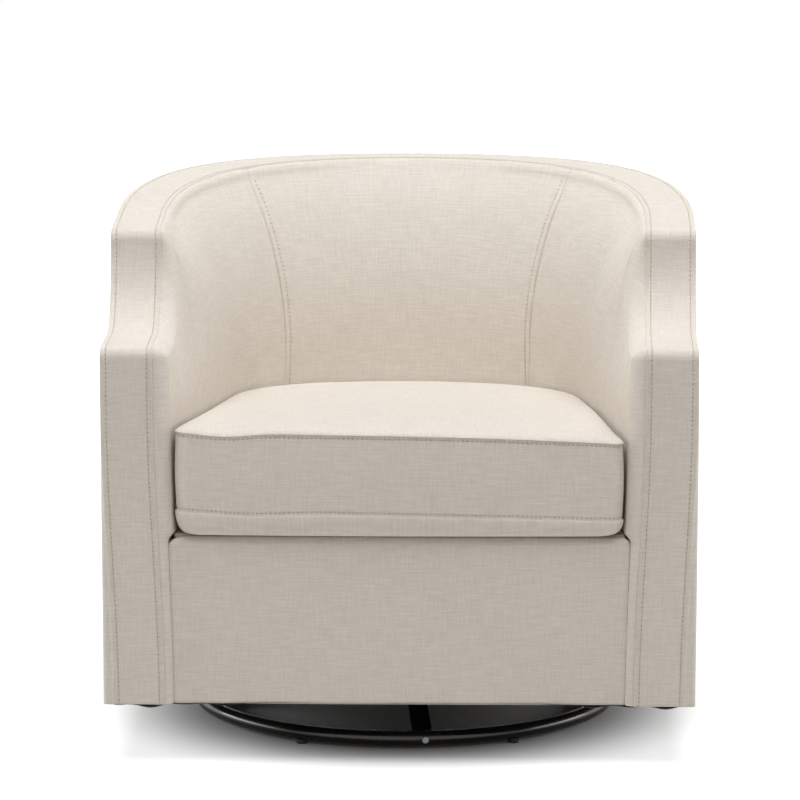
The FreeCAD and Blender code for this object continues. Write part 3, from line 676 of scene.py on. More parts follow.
def cover_piece(name, first, last, node, side):
    cloth = Cloth()
    part = slice(first, last)
    cloth.grid(*turn_under(cover_points[:, part], cover_uv[:, part], -cover_out[None, part]), flip=True)
    if first == 0:
        front = slice(corner_index + 1)
        cloth.grid(*turn_under(cover_corner[front], corner_uv[front], backward))
    strip = slice(first + corner_index, last + corner_index)
    cloth.grid(cover_corner[strip], corner_uv[strip])
    cloth.place(side)
    piece = cloth.build(name, fabric, "chair")
    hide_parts(node)


for arm in ("right", "left"):
    cover_piece("outer_arm_cover_" + arm, 0, seam_column + 1, "outside_arm_" + arm, arm)
cover_piece("outer_back_cover", seam_column, len(cover_at), "outside_back", "both")

# Inner pads: an edge strip rolled in from the band's seam, then the face that leans out to it
pad_sweep = 13.0               # depth of the edge strip below the seam
shelf_least, shelf_most = 8.0, 25.0    # width of the pad's rounded edge beside the seam
shelf_reach = 80.0             # below the seam, the pad's face leans to its own place over this depth
shelf_flat = 10.0
lean_reach = 170.0             # the same where the face has to lean back out
shelf_softness = 6.0
open_shelf = 200.0             # wider than the pad: there the face leans out by itself
open_y, open_length = -70.0, 200.0
cushion_line_z = 428.0         # the cushion fills the seat up to here
wall_z = 440.0                 # below it the seat's walls stand upright
tuck_least, tuck_most = 3.0, 7.5       # the wall's shift outward under the deck
probe_y = -100.0
relax_turns, relax_depth = 180, 9.0     # evening out of the pad's folds, from this depth in from its edge
face_z = np.concatenate([np.arange(60.0, wall_z, 4.0), np.arange(wall_z, back_top_z + 20, 2.0)])


# X at y 0 and at probe_y, and points for the round part, at every height of face_z
def face_tables():
    lines, rounds = [], []
    for z in face_z:
        plan = seat_plan(z)
        if z < wall_z:
            fall = (deck_top_z - z) / (deck_top_z - bottom_z)
            tucked = (tuck_most + (tuck_least - tuck_most) * fall) * smoothstep((deck_top_z + 2 - z) / 8.0)
            plan = Plan(seat_front_x + tucked, seat_widest, seat_back_y, seat_corner_x, seat_crown)
        lines.append((plan.side_x(0.0), plan.side_x(probe_y)))
        rounds.append(plan.along(round_share))
    return np.array(lines), np.array(rounds)


face_lines, face_rounds = face_tables()


# Pad faces without their edge roll, for side places (y, z) and for round places (columns of z)
def side_face(y, z):
    near = np.interp(z, face_z, face_lines[:, 0])
    far = np.interp(z, face_z, face_lines[:, 1])
    return joined(near + (far - near) * y / probe_y, y, z)


def round_face(z):
    flat = [[np.interp(z[..., j], face_z, face_rounds[:, j, i]) for j in range(z.shape[-1])] for i in (0, 1)]
    return joined(np.stack(flat[0], -1), np.stack(flat[1], -1), z)


round_seam_xy = body.along(round_share, band_width)
round_step = np.gradient(round_seam_xy, axis=0)
round_out = unit(joined(round_step[:, 1], -round_step[:, 0], np.zeros(len(round_share))))
side_out = np.array([math.cos(body.heading), -math.sin(body.heading), 0.0])


# Depth over which the pad's edge rounds off, by distance along the seam
roll_at = np.array([0, 90, 170, 250, 330, 433, 700, 860, side_length])
roll_size = np.array([9.0, 9, 11, 17, 23, 24, 22, 17, 14])


# The part above 0, with a soft start
def soft_excess(value):
    return (value + np.sqrt(value ** 2 + shelf_softness ** 2)) / 2


def rolled(face, seam, out, distance, roll, widest_shelf):
    gap = ((seam - face) * out).sum(-1)
    wanted = gap + soft_excess(shelf_least - gap) - soft_excess(gap - widest_shelf)
    reach = np.where(gap < shelf_least, lean_reach, shelf_reach)
    near = hump(np.maximum(distance - shelf_flat, 0), reach)
    face = face + out * ((gap - wanted) * near)[..., None]
    left = 1 - np.clip(distance / roll, 0, 1)
    rise = 1 - np.sqrt(1 - left ** 2)
    return face + (seam - face) * rise[..., None]


# Along the arm and up the step the shelf keeps its width
def rolled_side(y, z, distance, roll):
    seam = joined(body.side_x(y, band_width + seam_shift(z)), y, z)
    widest = shelf_most + (open_shelf - shelf_most) * smoothstep((y - open_y) / open_length) ** 2
    return rolled(side_face(y, z), seam, side_out, distance, roll, widest)


def rolled_round(z, below):
    seam = joined(round_seam_xy[:, 0], round_seam_xy[:, 1], z)
    return rolled(round_face(z), seam, round_out, below, roll_size[-1], open_shelf)


# Distance from side places to the top line, and the roll there
def edge_distance(y, z):
    at = np.arange(0, side_length + 60, 0.7)
    line = np.stack([np.interp(at, profile_length, profile[:, i]) for i in (0, 1)], -1)
    places = joined(y.ravel(), z.ravel())
    nearest = np.array([np.argmin(((line - place) ** 2).sum(1)) for place in places]).reshape(y.shape)
    distance = np.hypot(y - line[nearest, 0], z - line[nearest, 1])
    return distance, np.interp(at, roll_at, roll_size)[nearest]


strip_turn = np.radians(np.array([0, 2, 4, 6.5, 9, 12, 16, 21, 27, 34, 42, 51, 60, 70, 80, 90.0]))
strip_depth = pad_sweep * (1 - np.cos(strip_turn))


def edge_strip():
    depth = strip_depth[None] + np.zeros((side_count, 1))
    y = side_y[:, None] - side_normal[:, :1] * depth
    z = side_z[:, None] - side_normal[:, 1:] * depth
    side = rolled_side(y, z, depth, np.interp(side_at, roll_at, roll_size)[:, None])
    below = strip_depth[:, None] + np.zeros(len(round_share))
    z = height(round_seam_xy[:, 1])[None] - below
    return np.concatenate([side, rolled_round(z, below).transpose(1, 0, 2)])


strip_grid = edge_strip()
rim = strip_grid[corner_index:, -1]


def pad_face():
    y, z = column_places(high_z, rim)
    z, round_z = z[:, :side_columns], z[:, side_columns:]
    distance, roll = edge_distance(y, z)
    below = height(round_seam_xy[:, 1])[None] - round_z
    raw = np.concatenate([side_face(y, z), round_face(round_z)], 1)
    moved = np.concatenate([rolled_side(y, z, distance, roll), rolled_round(round_z, below)], 1) - raw
    freedom = np.concatenate([distance, below], 1) - pad_sweep
    return raw + relaxed(moved, smoothstep(freedom / relax_depth))


# Evens out the folds where the rolls of the arm and of the step meet
def relaxed(moved, freedom):
    share = freedom[1:-1, 1:-1, None]
    for _ in range(relax_turns):
        around = moved[:-2, 1:-1] + moved[2:, 1:-1] + moved[1:-1, :-2] + moved[1:-1, 2:]
        moved[1:-1, 1:-1] += (around / 4 - moved[1:-1, 1:-1]) * share
    return moved


face_grid = pad_face()


# Cloth coordinates: along the wall and up it, carried on over the edge strip
face_at = lengths(face_grid[len(high_z) // 2:len(high_z) // 2 + 1], 1)[0]
face_up = lengths(face_grid, 0)
face_up = face_up - face_up[-1:] + (rim[:, 2] - pad_bottom)[None]
face_uv = joined(face_at[None], face_up)
strip_across = lengths(strip_grid, 1)
strip_back = strip_across[:, -1:] - strip_across
strip_dir = np.concatenate([side_normal, np.tile([0.0, 1.0], (len(round_share), 1))])
rim_uv = np.concatenate([np.stack([np.zeros(corner_index), side_z[:corner_index] - side_z[corner_index]
                                   + face_up[-1, 0]], -1), face_uv[-1]])
strip_uv = rim_uv[:, None] + strip_dir[:, None] * strip_back[..., None]


# Distance along the cloth from the seam between back and wing, for every column
seam_away = np.abs(face_at - face_at[seam_column])
strip_away = np.concatenate([np.full(corner_index, row_far), seam_away])
on_back = np.arange(len(face_at)) > seam_column


def pad_seam_dip(away, back_side):
    plain, rowed = seam_dip(away, row=False), seam_dip(away)
    return np.where(back_side, rowed, plain) - 1.8 * hump(away, 15.0)


# Soft fullness of the panels and slight unevenness of the padding
def pad_swell():
    up = np.clip((face_grid[..., 2] - cushion_line_z) / (rim[:, 2] - cushion_line_z)[None], 0, 1)
    along = face_at[None] / face_at[seam_column]
    panel = np.where(on_back[None], 1.0, np.sin(math.pi * np.clip(along, 0, 1)) ** 0.7)
    swell = 3.2 * panel * np.sin(math.pi * np.clip(up, 0, 1)) ** 0.8
    u, v = face_at[None] / 100.0, face_grid[..., 2] / 100.0
    uneven = waves(u, v, (0.33, 2.1, 1.7, 0.4), (0.27, 3.7, -2.3, 2.0),
                   (0.18, 6.1, 4.9, 0), (0.15, 9.0, -7.0, 1.0))
    fade = np.clip((1 - up) / 0.12, 0, 1) * np.clip(along * 8, 0, 1)
    puckers = 0.28 * np.sin(face_grid[..., 2] / 3.9) * hump(seam_away[None] - 8.0, 7.0)
    return (swell + uneven) * fade + puckers * np.clip((1 - up) / 0.04, 0, 1)


face_normals = grid_normals(face_grid)
face_surface = face_grid + face_normals * (pad_swell() + pad_seam_dip(seam_away, on_back)[None])[..., None]
strip_dip = seam_dip(strip_across, row=False)
strip_dip = np.minimum(strip_dip, pad_seam_dip(strip_away, False)[:, None])
strip_surface = strip_grid + grid_normals(strip_grid) * strip_dip[..., None]
strip_surface[:, 0] = band_surface[:, -1]
face_surface[:, 0] = strip_surface[len(low_z) - 1:corner_index + 1, -1]
face_surface[-1] = strip_surface[corner_index:, -1]
back_row = seam_column + int(np.argmin(np.abs(seam_away[seam_column:] - stitch_row)))
face_rows = np.stack([face_grid[..., 2] - pad_bottom, np.broadcast_to(
    np.where(on_back, seam_away - stitch_row, row_far), face_grid.shape[:2])], -1)


# Behind the apron's side edges the wing's cloth goes on to the seat rail
def lower_wing():
    first = strip_surface[:len(low_z), -1]
    depth = np.array([0, 6.0, 14.0, 24.0])
    y = first[:, 1:2] + depth
    points = side_face(y, np.broadcast_to(low_z[:, None], y.shape))
    points[:, 0] = first
    uv = rim_uv[:len(low_z), None] + joined(depth, np.zeros(4))[None]
    return points, uv


def inner_piece(name, first, last, node, side):
    cloth = Cloth()
    cloth.grid(face_surface[:, first:last], face_uv[:, first:last], face_rows[:, first:last])
    strip = slice(first + corner_index if first else 0, last + corner_index)
    cloth.grid(strip_surface[strip], strip_uv[strip])
    if first == 0:
        cloth.grid(*lower_wing())
    cloth.place(side)
    piece = cloth.build(name, fabric, "chair")
    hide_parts(node)


for wing in ("right", "left"):
    inner_piece("inner_wing_" + wing, 0, seam_column + 1, "inside_wing_" + wing, wing)
inner_piece("inner_back", seam_column, len(face_at), "inside_back", "both")
back_path = (face_surface[:, back_row], face_normals[:, back_row])
stitches("back_stitches", [back_path, mirror_path(back_path)], "chair")

# Seat outline: straight or bowed front, round corners, then the seat's plan, for the +X half
seat = seat_plan(wall_z)
front_share = np.linspace(0, 1, 66)
corner_turn = np.linspace(0, 1, 17)
side_share = np.linspace(0, 1, 64)
rear_share = np.concatenate([spread(0, 1, 0.022)[1:], spread(1, 2, 0.03)[1:]])


def seat_half(inset, front, radius, bow=0.0, plan=seat):
    centre_y = front + radius
    centre_x = plan.side_x(centre_y, inset + radius)
    start, end = -math.pi / 2, -plan.heading
    turn = start + (end - start) * corner_turn[1:]
    across = centre_x * front_share
    edge = joined(across, front - bow * (1 - front_share ** 2))
    corner = joined(centre_x + radius * np.cos(turn), centre_y + radius * np.sin(turn))
    y = corner[-1, 1] + (split_y - corner[-1, 1]) * side_share[1:]
    side = joined(plan.side_x(y, inset), y)
    return np.concatenate([edge, corner, side, plan.along(rear_share, inset)])


# Loose cushion: panels above and below, and the boxing between two seams
cushion_bottom_z = deck_top_z + 0.3
cushion_low, cushion_high = 27.0, 126.0
cushion_crown = 15.0
cushion_back_drop = 19.0
cushion_clearance = 1.5
cushion_overhang = 9.0
cushion_bow = 5.0
cushion_corner = 20.0
cushion_corner_growth = 0.35
cushion_front = front_y - cushion_overhang + cushion_bow
cushion_centre = np.array([0.0, -80.0])
crown_insets = np.array([0, 0.5, 1.1, 1.8, 2.6, 3.5, 4.6, 6, 8, 10.5, 13.5, 17, 21, 26, 32, 39, 47, 57,
                         68, 80, 94, 109, 125, 142, 160.0])
crown_edge, crown_edge_reach, crown_power = 0.34, 4.0, 2.1
middle_rise = 0.02
belly_inset = 12.0
box_hollow, box_belly = 1.6, 3.0
box_steps = np.array([0, 0.6, 1.3, 2.0, 2.7, 3.4, 4.1, 5, 6.5, 9])
box_heights = np.concatenate([box_steps, np.linspace(13, 86, 20), [90, 92.5, 94, 94.9, 95.6, 96.3],
                              [97.0, 97.7, 98.4, 99.0]])
box_row = 3.4
box_middle = 20                # index of a height about half way up the boxing
level_from = 18                # from this ring inward the top counts as level


def cushion_ring(inset):
    radius = cushion_corner + cushion_corner_growth * max(inset, 0.0)
    return seat_half(inset + cushion_clearance, cushion_front + inset, radius, bow=cushion_bow)


perimeter_count = len(cushion_ring(0.0))
rear_amount = np.zeros(perimeter_count)
rear_amount[-len(rear_share):] = smoothstep((rear_share - 0.6) / 0.5)


def crown_rise(inset):
    edge = crown_edge * (1 - np.exp(-inset / crown_edge_reach))
    return edge + (1 - crown_edge) * (1 - (1 - np.clip(inset / crown_insets[-1], 0, 1)) ** crown_power)


def raised(ring, z):
    return np.concatenate([ring, np.full((len(ring), 1), z)], 1)


# A ring drawn in towards the cushion's middle
def drawn_in(ring, share):
    return cushion_centre + (ring - cushion_centre) * share


def cushion_panels():
    seam_z = cushion_bottom_z + cushion_high
    top = [raised(cushion_ring(d), seam_z + cushion_crown * crown_rise(d)) for d in crown_insets]
    last = cushion_ring(crown_insets[-1])
    for share in np.linspace(1, 0, 15)[1:]:
        rise = crown_rise(crown_insets[-1]) + middle_rise * (1 - share)
        top.append(raised(drawn_in(last, share), seam_z + cushion_crown * rise))
    under = []
    for turn in np.radians(np.linspace(90, 0, 15)):
        ring = cushion_ring(belly_inset * (1 - math.sin(turn)))
        under.append(raised(ring, cushion_bottom_z + cushion_low * (1 - math.cos(turn))))
    flat = cushion_ring(belly_inset)
    for share in np.linspace(1, 0, 12)[1:]:
        under.append(raised(drawn_in(flat, share), cushion_bottom_z))
    boxing = []
    for h in box_heights:
        bulge = math.sin(math.pi * h / box_heights[-1])
        near, far = cushion_ring(box_hollow * (1 - bulge)), cushion_ring(box_belly * bulge)
        ring = near + (far - near) * rear_amount[:, None]
        boxing.append(raised(ring, cushion_bottom_z + cushion_low + h))
    return np.stack(top), np.stack(boxing), np.stack(under)


cushion_top, cushion_box, cushion_under = cushion_panels()
cushion_box[-1], cushion_box[0] = cushion_top[0], cushion_under[0]
perimeter_at = lengths(cushion_box[[box_middle]], 1)[0]


# The front of the cushion sits unevenly: the seams climb towards -X and wander, as in the photograph
def seam_sag(x):
    share = x / 280.0
    upper = -4.0 * share - 4.5 * hump(x + 215, 40.0) - 6.0 * np.where(x > 0, share, 0) ** 2
    lower = -5.5 * share - share ** 2 - 4.0 * hump(x + 185, 60.0)
    return lower, upper


def settled(points):
    x, y, z = points.T
    up = (z - cushion_bottom_z - cushion_low) / (cushion_high - cushion_low)
    lower, upper = seam_sag(x)
    near_front = 0.15 + 0.85 * smoothstep((-y - 60) / 260)
    blend = smoothstep(np.clip(up, 0, 1))
    shift = lower * np.clip((z - cushion_bottom_z) / cushion_low, 0, 1) * (1 - blend) + upper * blend
    front = front_y - cushion_overhang
    slope = cushion_back_drop * (y - front) / (seat_back_y - front)
    return joined(x, y, z + shift * near_front - slope * np.clip(up, 0, 1))


def uneven_top(x, y):
    return waves(x / 100.0, y / 100.0, (0.9, 1.9, 1.1, 0.5), (0.7, 1.3, -2.4, 2.1), (0.4, 4.3, 2.9, 0),
                 (0.3, 5.9, -4.1, 1.0))


# Gathers beside a seam, along the perimeter
def gathers(away):
    along = perimeter_at[None]
    return 0.3 * np.sin(along / 3.7 + 0.8 * np.sin(along / 31.0)) * hump(away - 6, 5.0)


def cushion_surfaces(from_low):
    top_away = np.minimum(lengths(cushion_top, 0), 400.0)
    rise = uneven_top(cushion_top[..., 0], cushion_top[..., 1]) * np.clip(top_away / 60.0, 0, 1)
    top_normal = -grid_normals(cushion_top)
    top_normal[level_from:] = (0, 0, 1)
    top_dip = 0.6 * seam_dip(top_away, row=False) + gathers(top_away) + rise
    top = cushion_top + top_normal * top_dip[..., None]
    under_dip = 0.8 * seam_dip(lengths(cushion_under, 0), row=False)
    under = cushion_under - grid_normals(cushion_under) * under_dip[..., None]
    away = np.minimum(from_low, box_heights[-1] - from_low)
    box_dip = 0.6 * seam_dip(away, row=False) - 0.3 * np.exp(-(away - box_row) ** 2) + gathers(away)
    belly = np.sin(math.pi * from_low / box_heights[-1])
    box_dip = box_dip + 0.5 * np.sin(perimeter_at[None] / 47.0) * belly
    box_normal = -grid_normals(cushion_box)
    box = cushion_box + box_normal * box_dip[..., None]
    top[0], under[0] = box[-1], box[0]
    return top, under, box, box_normal


def cushion_piece():
    from_low = box_heights[:, None] + np.zeros(perimeter_count)
    top, under, box, box_normal = cushion_surfaces(from_low)
    from_high = box_heights[-1] - from_low
    nearest_row = np.where(from_low < from_high, from_low - box_row, from_high - box_row)
    cloth = Cloth()
    cloth.grid(top, top[..., :2])
    cloth.grid(under, under[..., :2], flip=True)
    cloth.grid(box, joined(perimeter_at, from_low), joined(perimeter_at, nearest_row))
    cloth.mirror()
    cloth.points = [settled(p) for p in cloth.points]
    piece = cloth.build("seat_cushion", cushion_fabric, "cushion")
    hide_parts("cushion_cover", "cushion_foam")
    paths = []
    for row in (box_row, box_heights[-1] - box_row):
        k = int(np.argmin(np.abs(box_heights - row)))
        for path in ((box[k], box_normal[k]), mirror_path((box[k], box_normal[k]))):
            paths.append((settled(path[0]), path[1]))
    stitches("cushion_stitches", paths, "cushion")


cushion_piece()


# Padded panel under the seat, rolled back at its sides and top, with one rounder top corner
apron_face = front_y + 8.0
apron_top = deck_top_z - 3.0
apron_foot_x, apron_spread = 282.5, 4.5    # half width at the foot, and how much more at the top
apron_corners = {-1: (24.0, 13.0), 1: (13.0, 10.0)}    # width and height of each top corner
apron_half_width = 285.0
apron_edge = np.array([0, 0.4, 1.0, 1.8, 2.8, 4.0, 5.5, 7.5, 10.0]) / apron_half_width
apron_side_roll, apron_top_roll = 6.0, 9.0
apron_wall = np.array([0, 2.0, 5.0, 10.0])


def apron_half(z, sign):
    wide, tall = apron_corners[sign]
    side = apron_foot_x + apron_spread * (z - bottom_z) / (apron_top - bottom_z)
    climb = np.clip((z - (apron_top - tall)) / tall, 0, 1)
    return side - wide * (1 - np.sqrt(1 - climb ** 2))


# How far a round edge falls back, at a distance from it
def fall_back(gap, size):
    return size * (1 - np.sqrt(1 - np.clip(1 - gap / size, 0, 1) ** 2))


def apron_face_grid():
    inner = 1 - 13 / apron_half_width
    u = np.concatenate([-1 + apron_edge, np.linspace(-inner, inner, 150), (1 - apron_edge)[::-1]])[None]
    z = np.concatenate([spread(bottom_z, apron_top - 30, 3.5)[:-1],
                        apron_top - 30 * (1 - np.sin(np.radians(np.linspace(0, 90, 26))))])[:, None]
    half = np.where(u < 0, apron_half(z, -1), apron_half(z, 1))
    x = u * half
    z = z + np.zeros(x.shape)
    side_gap = half - np.abs(x)
    climb = (z - bottom_z) / (apron_top - bottom_z)
    swell = np.sin(math.pi * (u + 1) / 2) ** 0.5 * np.sin(math.pi * climb) ** 0.6
    loose = 0.35 * np.sin(x / 63.0 + z / 41.0) + 0.25 * np.sin(x / 29.0 - z / 37.0)
    tuck = 0.0
    for sign, (wide, tall) in apron_corners.items():
        across, up = x * sign - (apron_foot_x + apron_spread - wide), z - apron_top + tall
        near = hump(np.hypot(across, up) - wide * 0.9, 9.0)
        tuck = tuck + 0.35 * np.cos(np.arctan2(up, across) * 10.0) * near
    roll = np.maximum(fall_back(side_gap, apron_side_roll), fall_back(apron_top - z, apron_top_roll))
    y = apron_face + roll - (1.2 * swell + loose) * np.clip(side_gap / 20, 0, 1) + tuck
    return joined(x, y, z)


def apron_panel():
    points = apron_face_grid()
    uv = points[..., [0, 2]]
    cloth = Cloth()
    cloth.grid(*turn_under(points, uv, backward), flip=True)
    rim_points, edge_uv = [np.concatenate([a[:, 0], a[-1, 1:], a[::-1, -1][1:]]) for a in (points, uv)]
    cloth.grid(rim_points[:, None] + backward * apron_wall[:, None],
               edge_uv[:, None] + joined(apron_wall, apron_wall * 0)[None])
    piece = cloth.build("apron_cover", fabric, "chair")
    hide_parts("front_apron")


apron_panel()


# Cloth-covered deck under the cushion
deck_front_y = -340.0
deck_thickness = 10.3
deck_corner = 8.0
deck_roll = 4.0
deck_gap = 0.3
deck_edge_rings = 8            # rings of its under side and round edge, before the flat top
deck_fabric = linen("deck_linen", (0.74, 0.70, 0.62), rows=False)


def seat_deck():
    plan = Plan(seat_front_x + 4.0, seat_widest, seat_back_y, seat_corner_x, seat_crown)
    under_z = deck_top_z - deck_thickness
    under = seat_half(3.0, deck_front_y + 3, deck_corner, plan=plan)
    rings = [raised(drawn_in(under, 0.02), under_z), raised(under, under_z)]
    for turn in np.radians(np.linspace(0, 90, 7)):
        inset = deck_roll * (1 - math.cos(turn))
        ring = seat_half(deck_gap + inset, deck_front_y + inset, deck_corner, plan=plan)
        rings.append(raised(ring, deck_top_z - 4.5 + deck_roll * math.sin(turn)))
    last = rings[-1][:, :2]
    for share in np.linspace(1, 0, 26)[1:]:
        rings.append(raised(drawn_in(last, share), deck_top_z - 0.5))
    grid = np.stack(rings)
    away = np.clip(lengths(grid, 0) / 60.0, 0, 1)
    bow = 0.25 * np.sin(grid[..., 0] / 15.3) * np.sin(grid[..., 1] / 70.0) * away
    grid[deck_edge_rings:, :, 2] += bow[deck_edge_rings:]
    cloth = Cloth()
    cloth.grid(grid, grid[..., :2])
    cloth.mirror()
    piece = cloth.build("deck_cover", deck_fabric, "chair")
    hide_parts("seat_deck")


seat_deck()


# Black dust cover, stapled under the frame and slack at the front ends
dust_inset = 7.0
dust_corner = 8.0
dust_z = bottom_z + 0.5
hole_half = 105.0
staple_count = 26
dust_share = np.concatenate([[0, 0.012, 0.028, 0.05, 0.08], np.linspace(0.12, 1, 16)])[:, None]


# How far the cloth hangs, at shares of the way from its edge to the hole
def dust_sag(x, y, share):
    slack = smoothstep((np.abs(x) - 150) / 120) * smoothstep((-y - 250) / 80)
    wave = 0.6 + 0.25 * np.sin(x / 17.0 + 1.0) + 0.2 * np.sin(x / 7.3)
    sag = 8.5 * slack * hump(share - 0.045, 0.05) * wave + 1.6 * np.sin(math.pi * share)
    pulled = 0.9 * np.sin(np.arctan2(y, x) * staple_count) * np.exp(-share / 0.08) * (share > 0)
    return np.maximum(sag + pulled, 0)


def dust_cover():
    half = seat_half(dust_inset, front_y + dust_inset, dust_corner, plan=body)
    outer = np.concatenate([half, (half * (-1, 1))[::-1][1:-1]])
    angle = np.arctan2(outer[:, 1], outer[:, 0])
    reach = hole_half / np.maximum(np.abs(np.cos(angle)), np.abs(np.sin(angle)))
    hole = joined(reach * np.cos(angle), reach * np.sin(angle))
    flat = outer[None] + (hole - outer)[None] * dust_share[..., None]
    flat = np.concatenate([flat, flat[:, :1]], 1)
    x, y = flat[..., 0], flat[..., 1]
    cloth = Cloth()
    cloth.grid(joined(x, y, dust_z - dust_sag(x, y, dust_share)), flat)
    piece = cloth.build("dust_cloth", dust_fabric, "chair")
    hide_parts("dust_cover")


def spun_cloth():
    n = Nodes("black_spun_cloth")
    fleck = n.noise(n.uv("cloth"), (900.0, 900.0, 1.0), detail=3.0)
    cell = n.noise(n.uv("cloth"), (250.0, 250.0, 1.0), detail=1.0)
    shade = n.mix(fleck, (0.006, 0.006, 0.007, 1), (0.022, 0.022, 0.024, 1))
    return n.surface(shade, 0.9, n.bump(n.plus(fleck, cell), 0.2 * MM, 0.7), Sheen_Weight=0.05)


dust_fabric = spun_cloth()
dust_cover()


# Finishes of the CAD nodes that show as they are
def enamel():
    n = Nodes("bronze_black_enamel")
    orange_peel = n.noise(n.place(), 420.0)
    drift = n.noise(n.place(), 14.0)
    shade = n.mix(drift, (0.013, 0.011, 0.010, 1), (0.030, 0.026, 0.023, 1))
    return n.surface(shade, n.ramp(drift, 0.3, 0.7, 0.20, 0.34), n.bump(orange_peel, 0.06 * MM, 0.5),
                     Metallic=0.35, Coat_Weight=0.5, Coat_Roughness=0.12)


# Steel between two greys with a little blue, and between a smooth and a rough look
def steel(name, dark, light, low, high, blue=0.01):
    n = Nodes(name)
    brush = n.noise(n.place(), (900.0, 60.0, 900.0), detail=3.0)
    spots = n.noise(n.place(), 45.0, detail=3.0)
    shade = n.mix(spots, (dark, dark, dark + blue, 1), (light, light, light + blue, 1))
    rough = n.ramp(n.plus(brush, n.times(spots, 0.4)), 0.4, 1.0, low, high)
    return n.surface(shade, rough, n.bump(brush, 0.04 * MM, 0.5), Metallic=1.0)


def moulded():
    n = Nodes("moulded_plastic")
    skin = n.noise(n.place(), 1100.0)
    scuff = n.noise(n.place(), (60.0, 60.0, 25.0), detail=3.0)
    shade = n.mix(scuff, (0.022, 0.022, 0.022, 1), (0.045, 0.044, 0.043, 1))
    return n.surface(shade, n.ramp(scuff, 0.3, 0.7, 0.5, 0.66), n.bump(skin, 0.08 * MM, 0.6))


def timber(name, dark, light, ring_scale, along):
    n = Nodes(name)
    grain = n.noise(n.place(), along, detail=4.0, roughness=0.65)
    scaled = n.feed(n.node("ShaderNodeMapping"), n.place(), Scale=tuple(a * 0.1 for a in along))
    wave = n.node("ShaderNodeTexWave", wave_type="BANDS", bands_direction="DIAGONAL")
    n.feed(wave, scaled, Scale=ring_scale, Distortion=3.5, Detail=2.0)
    figure = n.plus(n.times(wave.outputs["Fac"], 0.55), n.times(grain, 0.55))
    shade = n.mix(n.ramp(figure, 0.2, 0.9), rgba(dark), rgba(light))
    return n.surface(shade, n.ramp(grain, 0.3, 0.7, 0.62, 0.8), n.bump(grain, 0.2 * MM, 0.6))


def tape():
    n = Nodes("woven_tape")
    x, _, z = n.split(n.place())
    rib = n.math("SINE", n.times(z, TAU / (1.5 * MM)))
    tooth = n.math("SINE", n.times(x, TAU / (2.2 * MM)))
    relief = n.times(rib, tooth)
    # colour follows the relief: painted shade in the low ribs and teeth of the weave
    shade = n.mix(n.ramp(relief, -1.0, 1.0), rgba(cream, 0.62), rgba(cream, 0.86))
    return n.surface(shade, 0.75, n.bump(relief, 0.3 * MM, 0.7))


finishes = {
    "ring_steel": enamel(),
    "hardware_steel": steel("zinc_plated_steel", 0.36, 0.56, 0.28, 0.5),
    "bearing_steel": steel("polished_steel", 0.55, 0.72, 0.08, 0.2, 0.02),
    "glide_plastic": moulded(),
    "hardwood": timber("sawn_hardwood", (0.42, 0.28, 0.15), (0.70, 0.53, 0.33), 9.0, (14.0, 90.0, 90.0)),
    "plywood": timber("plywood_face", (0.52, 0.38, 0.22), (0.78, 0.64, 0.44), 5.0, (60.0, 60.0, 9.0)),
    "spring_steel": steel("oiled_wire", 0.15, 0.28, 0.3, 0.5),
    "zip_tape": tape()}

for part in frame["record"]["subparts"]:
    shown = frame["nodes"].get(part["node"])
    finish = finishes.get(part["material_slot"])
    if shown and finish and not shown.hide_render:
        if not shown.material_slots:
            shown.data.materials.append(finish)
        for used in shown.material_slots:
            used.material = finish

# Camera at the photograph's viewing angle
camera_distance = 5.0
camera_height = 1.15
camera_turn = math.radians(1.2)
aim = Vector((0, 0, 0.38))
focal_px = 3819.5
centre_px = (405.0, 420.9)
picture_px = 800.0
sensor = 36.0
camera_data = bpy.data.cameras.new("camera")
camera = bpy.data.objects.new("camera", camera_data)
bpy.context.scene.collection.objects.link(camera)
camera.location = (camera_distance * math.sin(camera_turn), -camera_distance * math.cos(camera_turn),
                   camera_height)
camera.rotation_euler = (aim - camera.location).to_track_quat("-Z", "Y").to_euler()
camera_data.sensor_width = sensor
camera_data.lens = sensor * focal_px / picture_px
camera_data.shift_x = -(centre_px[0] - picture_px / 2) / picture_px
camera_data.shift_y = (centre_px[1] - picture_px / 2) / picture_px
camera_data.clip_end = 50
bpy.context.scene.camera = camera


# Studio: lamps in metres and watts, each turned to the middle of the chair
lamp_target = Vector((0, 0, 0.4))
lamps = {
    "top_light": ((0, -0.5, 3.0), (3.0, 3.0), 78.0, (0.97, 1.0, 1.03)),
    "left_light": ((-2.8, 0.1, 0.85), (2.2, 0.6), 25.0, (1.0, 1.0, 1.0)),
    "right_light": ((2.8, 0.1, 0.85), (2.2, 0.6), 19.0, (1.0, 1.0, 1.0))}

for name, (place, size, power, colour) in lamps.items():
    data = bpy.data.lights.new(name, "AREA")
    data.shape = "RECTANGLE"
    data.size, data.size_y = size
    data.energy = power
    data.color = colour
    lamp = bpy.data.objects.new(name, data)
    bpy.context.scene.collection.objects.link(lamp)
    lamp.location = place
    lamp.rotation_euler = (lamp_target - Vector(place)).to_track_quat("-Z", "Y").to_euler()


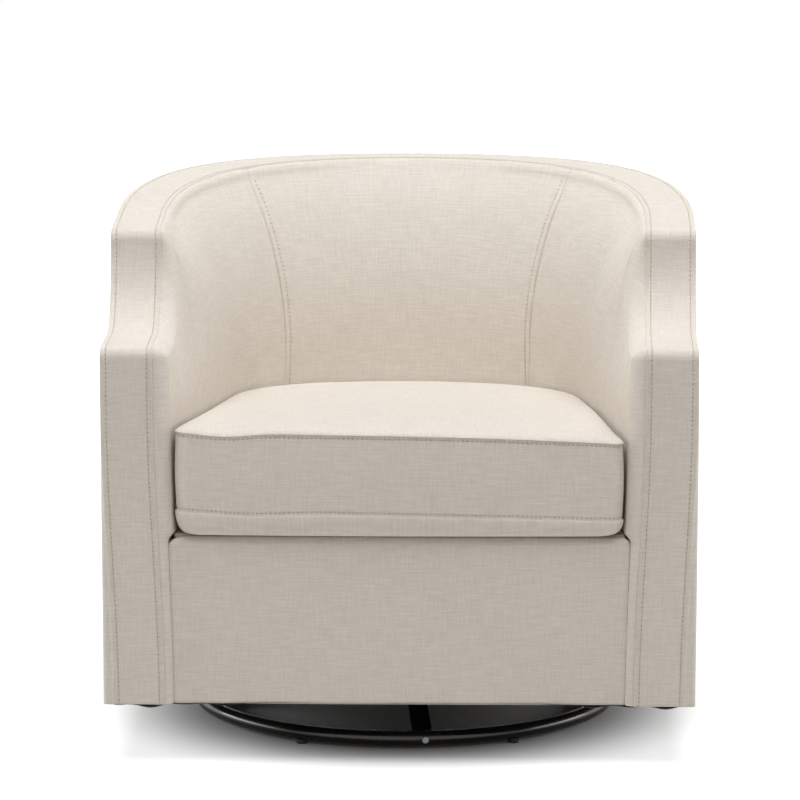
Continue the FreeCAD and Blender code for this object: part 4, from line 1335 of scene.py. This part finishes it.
# Soft light from all round, with plain white where it is looked at or mirrored
def studio_world():
    world = bpy.data.worlds.new("studio")
    n = Nodes("studio", world, "ShaderNodeOutputWorld")
    path = n.node("ShaderNodeLightPath")
    seen = n.math("MAXIMUM", path.outputs["Is Camera Ray"], path.outputs["Is Glossy Ray"])
    light = n.feed(n.node("ShaderNodeBackground"), Color=(1.0, 0.955, 0.925, 1), Strength=0.27)
    white = n.feed(n.node("ShaderNodeBackground"), Color=(1, 1, 1, 1), Strength=1.0)
    n.finish(n.feed(n.node("ShaderNodeMixShader"), seen, light, white))
    return world


# Pale floor that glows for the camera except near the chair, which leaves a painted shadow under and around
# it, and brightens to white farther away
floor_half = 12.0
# radii and edge glow of the painted shadow around the chair
painted_shadow_inner, painted_shadow_outer, painted_shadow_edge_glow = 0.25, 0.44, 0.70
white_inner, white_outer, white_glow = 0.6, 4.0, 0.6


def make_floor():
    n = Nodes("studio_floor")
    grain = n.noise(n.place(), 40.0, detail=3.0)
    colour = n.mix(grain, (0.76, 0.755, 0.75, 1), (0.78, 0.775, 0.77, 1))
    diffuse = n.feed(n.node("ShaderNodeBsdfDiffuse"), colour)
    x, y = n.split(n.place())[:2]
    away = n.math("SQRT", n.plus(n.times(x, x), n.times(y, y)))
    # no glow near the chair's middle, rising outward: painted shadow under and around the chair
    glow = n.plus(n.ramp(away, painted_shadow_inner, painted_shadow_outer, 0.0, painted_shadow_edge_glow),
                  n.ramp(away, white_inner, white_outer, 0.0, white_glow))
    path = n.node("ShaderNodeLightPath")
    blank = n.feed(n.node("ShaderNodeEmission"), Strength=0.0)
    shine = n.feed(n.node("ShaderNodeEmission"), Strength=glow)
    seen = n.feed(n.node("ShaderNodeMixShader"), path.outputs["Is Camera Ray"], blank, shine)
    n.finish(n.feed(n.node("ShaderNodeAddShader"), diffuse, seen))
    mesh = bpy.data.meshes.new("studio_floor")
    corners = [(x * floor_half, y * floor_half, 0) for x, y in ((-1, -1), (1, -1), (1, 1), (-1, 1))]
    mesh.from_pydata(corners, [], [(0, 1, 2, 3)])
    new_object("studio_floor", mesh, n.owner)


bpy.context.scene.world = studio_world()
make_floor()
bpy.context.scene.view_settings.view_transform = "Standard"
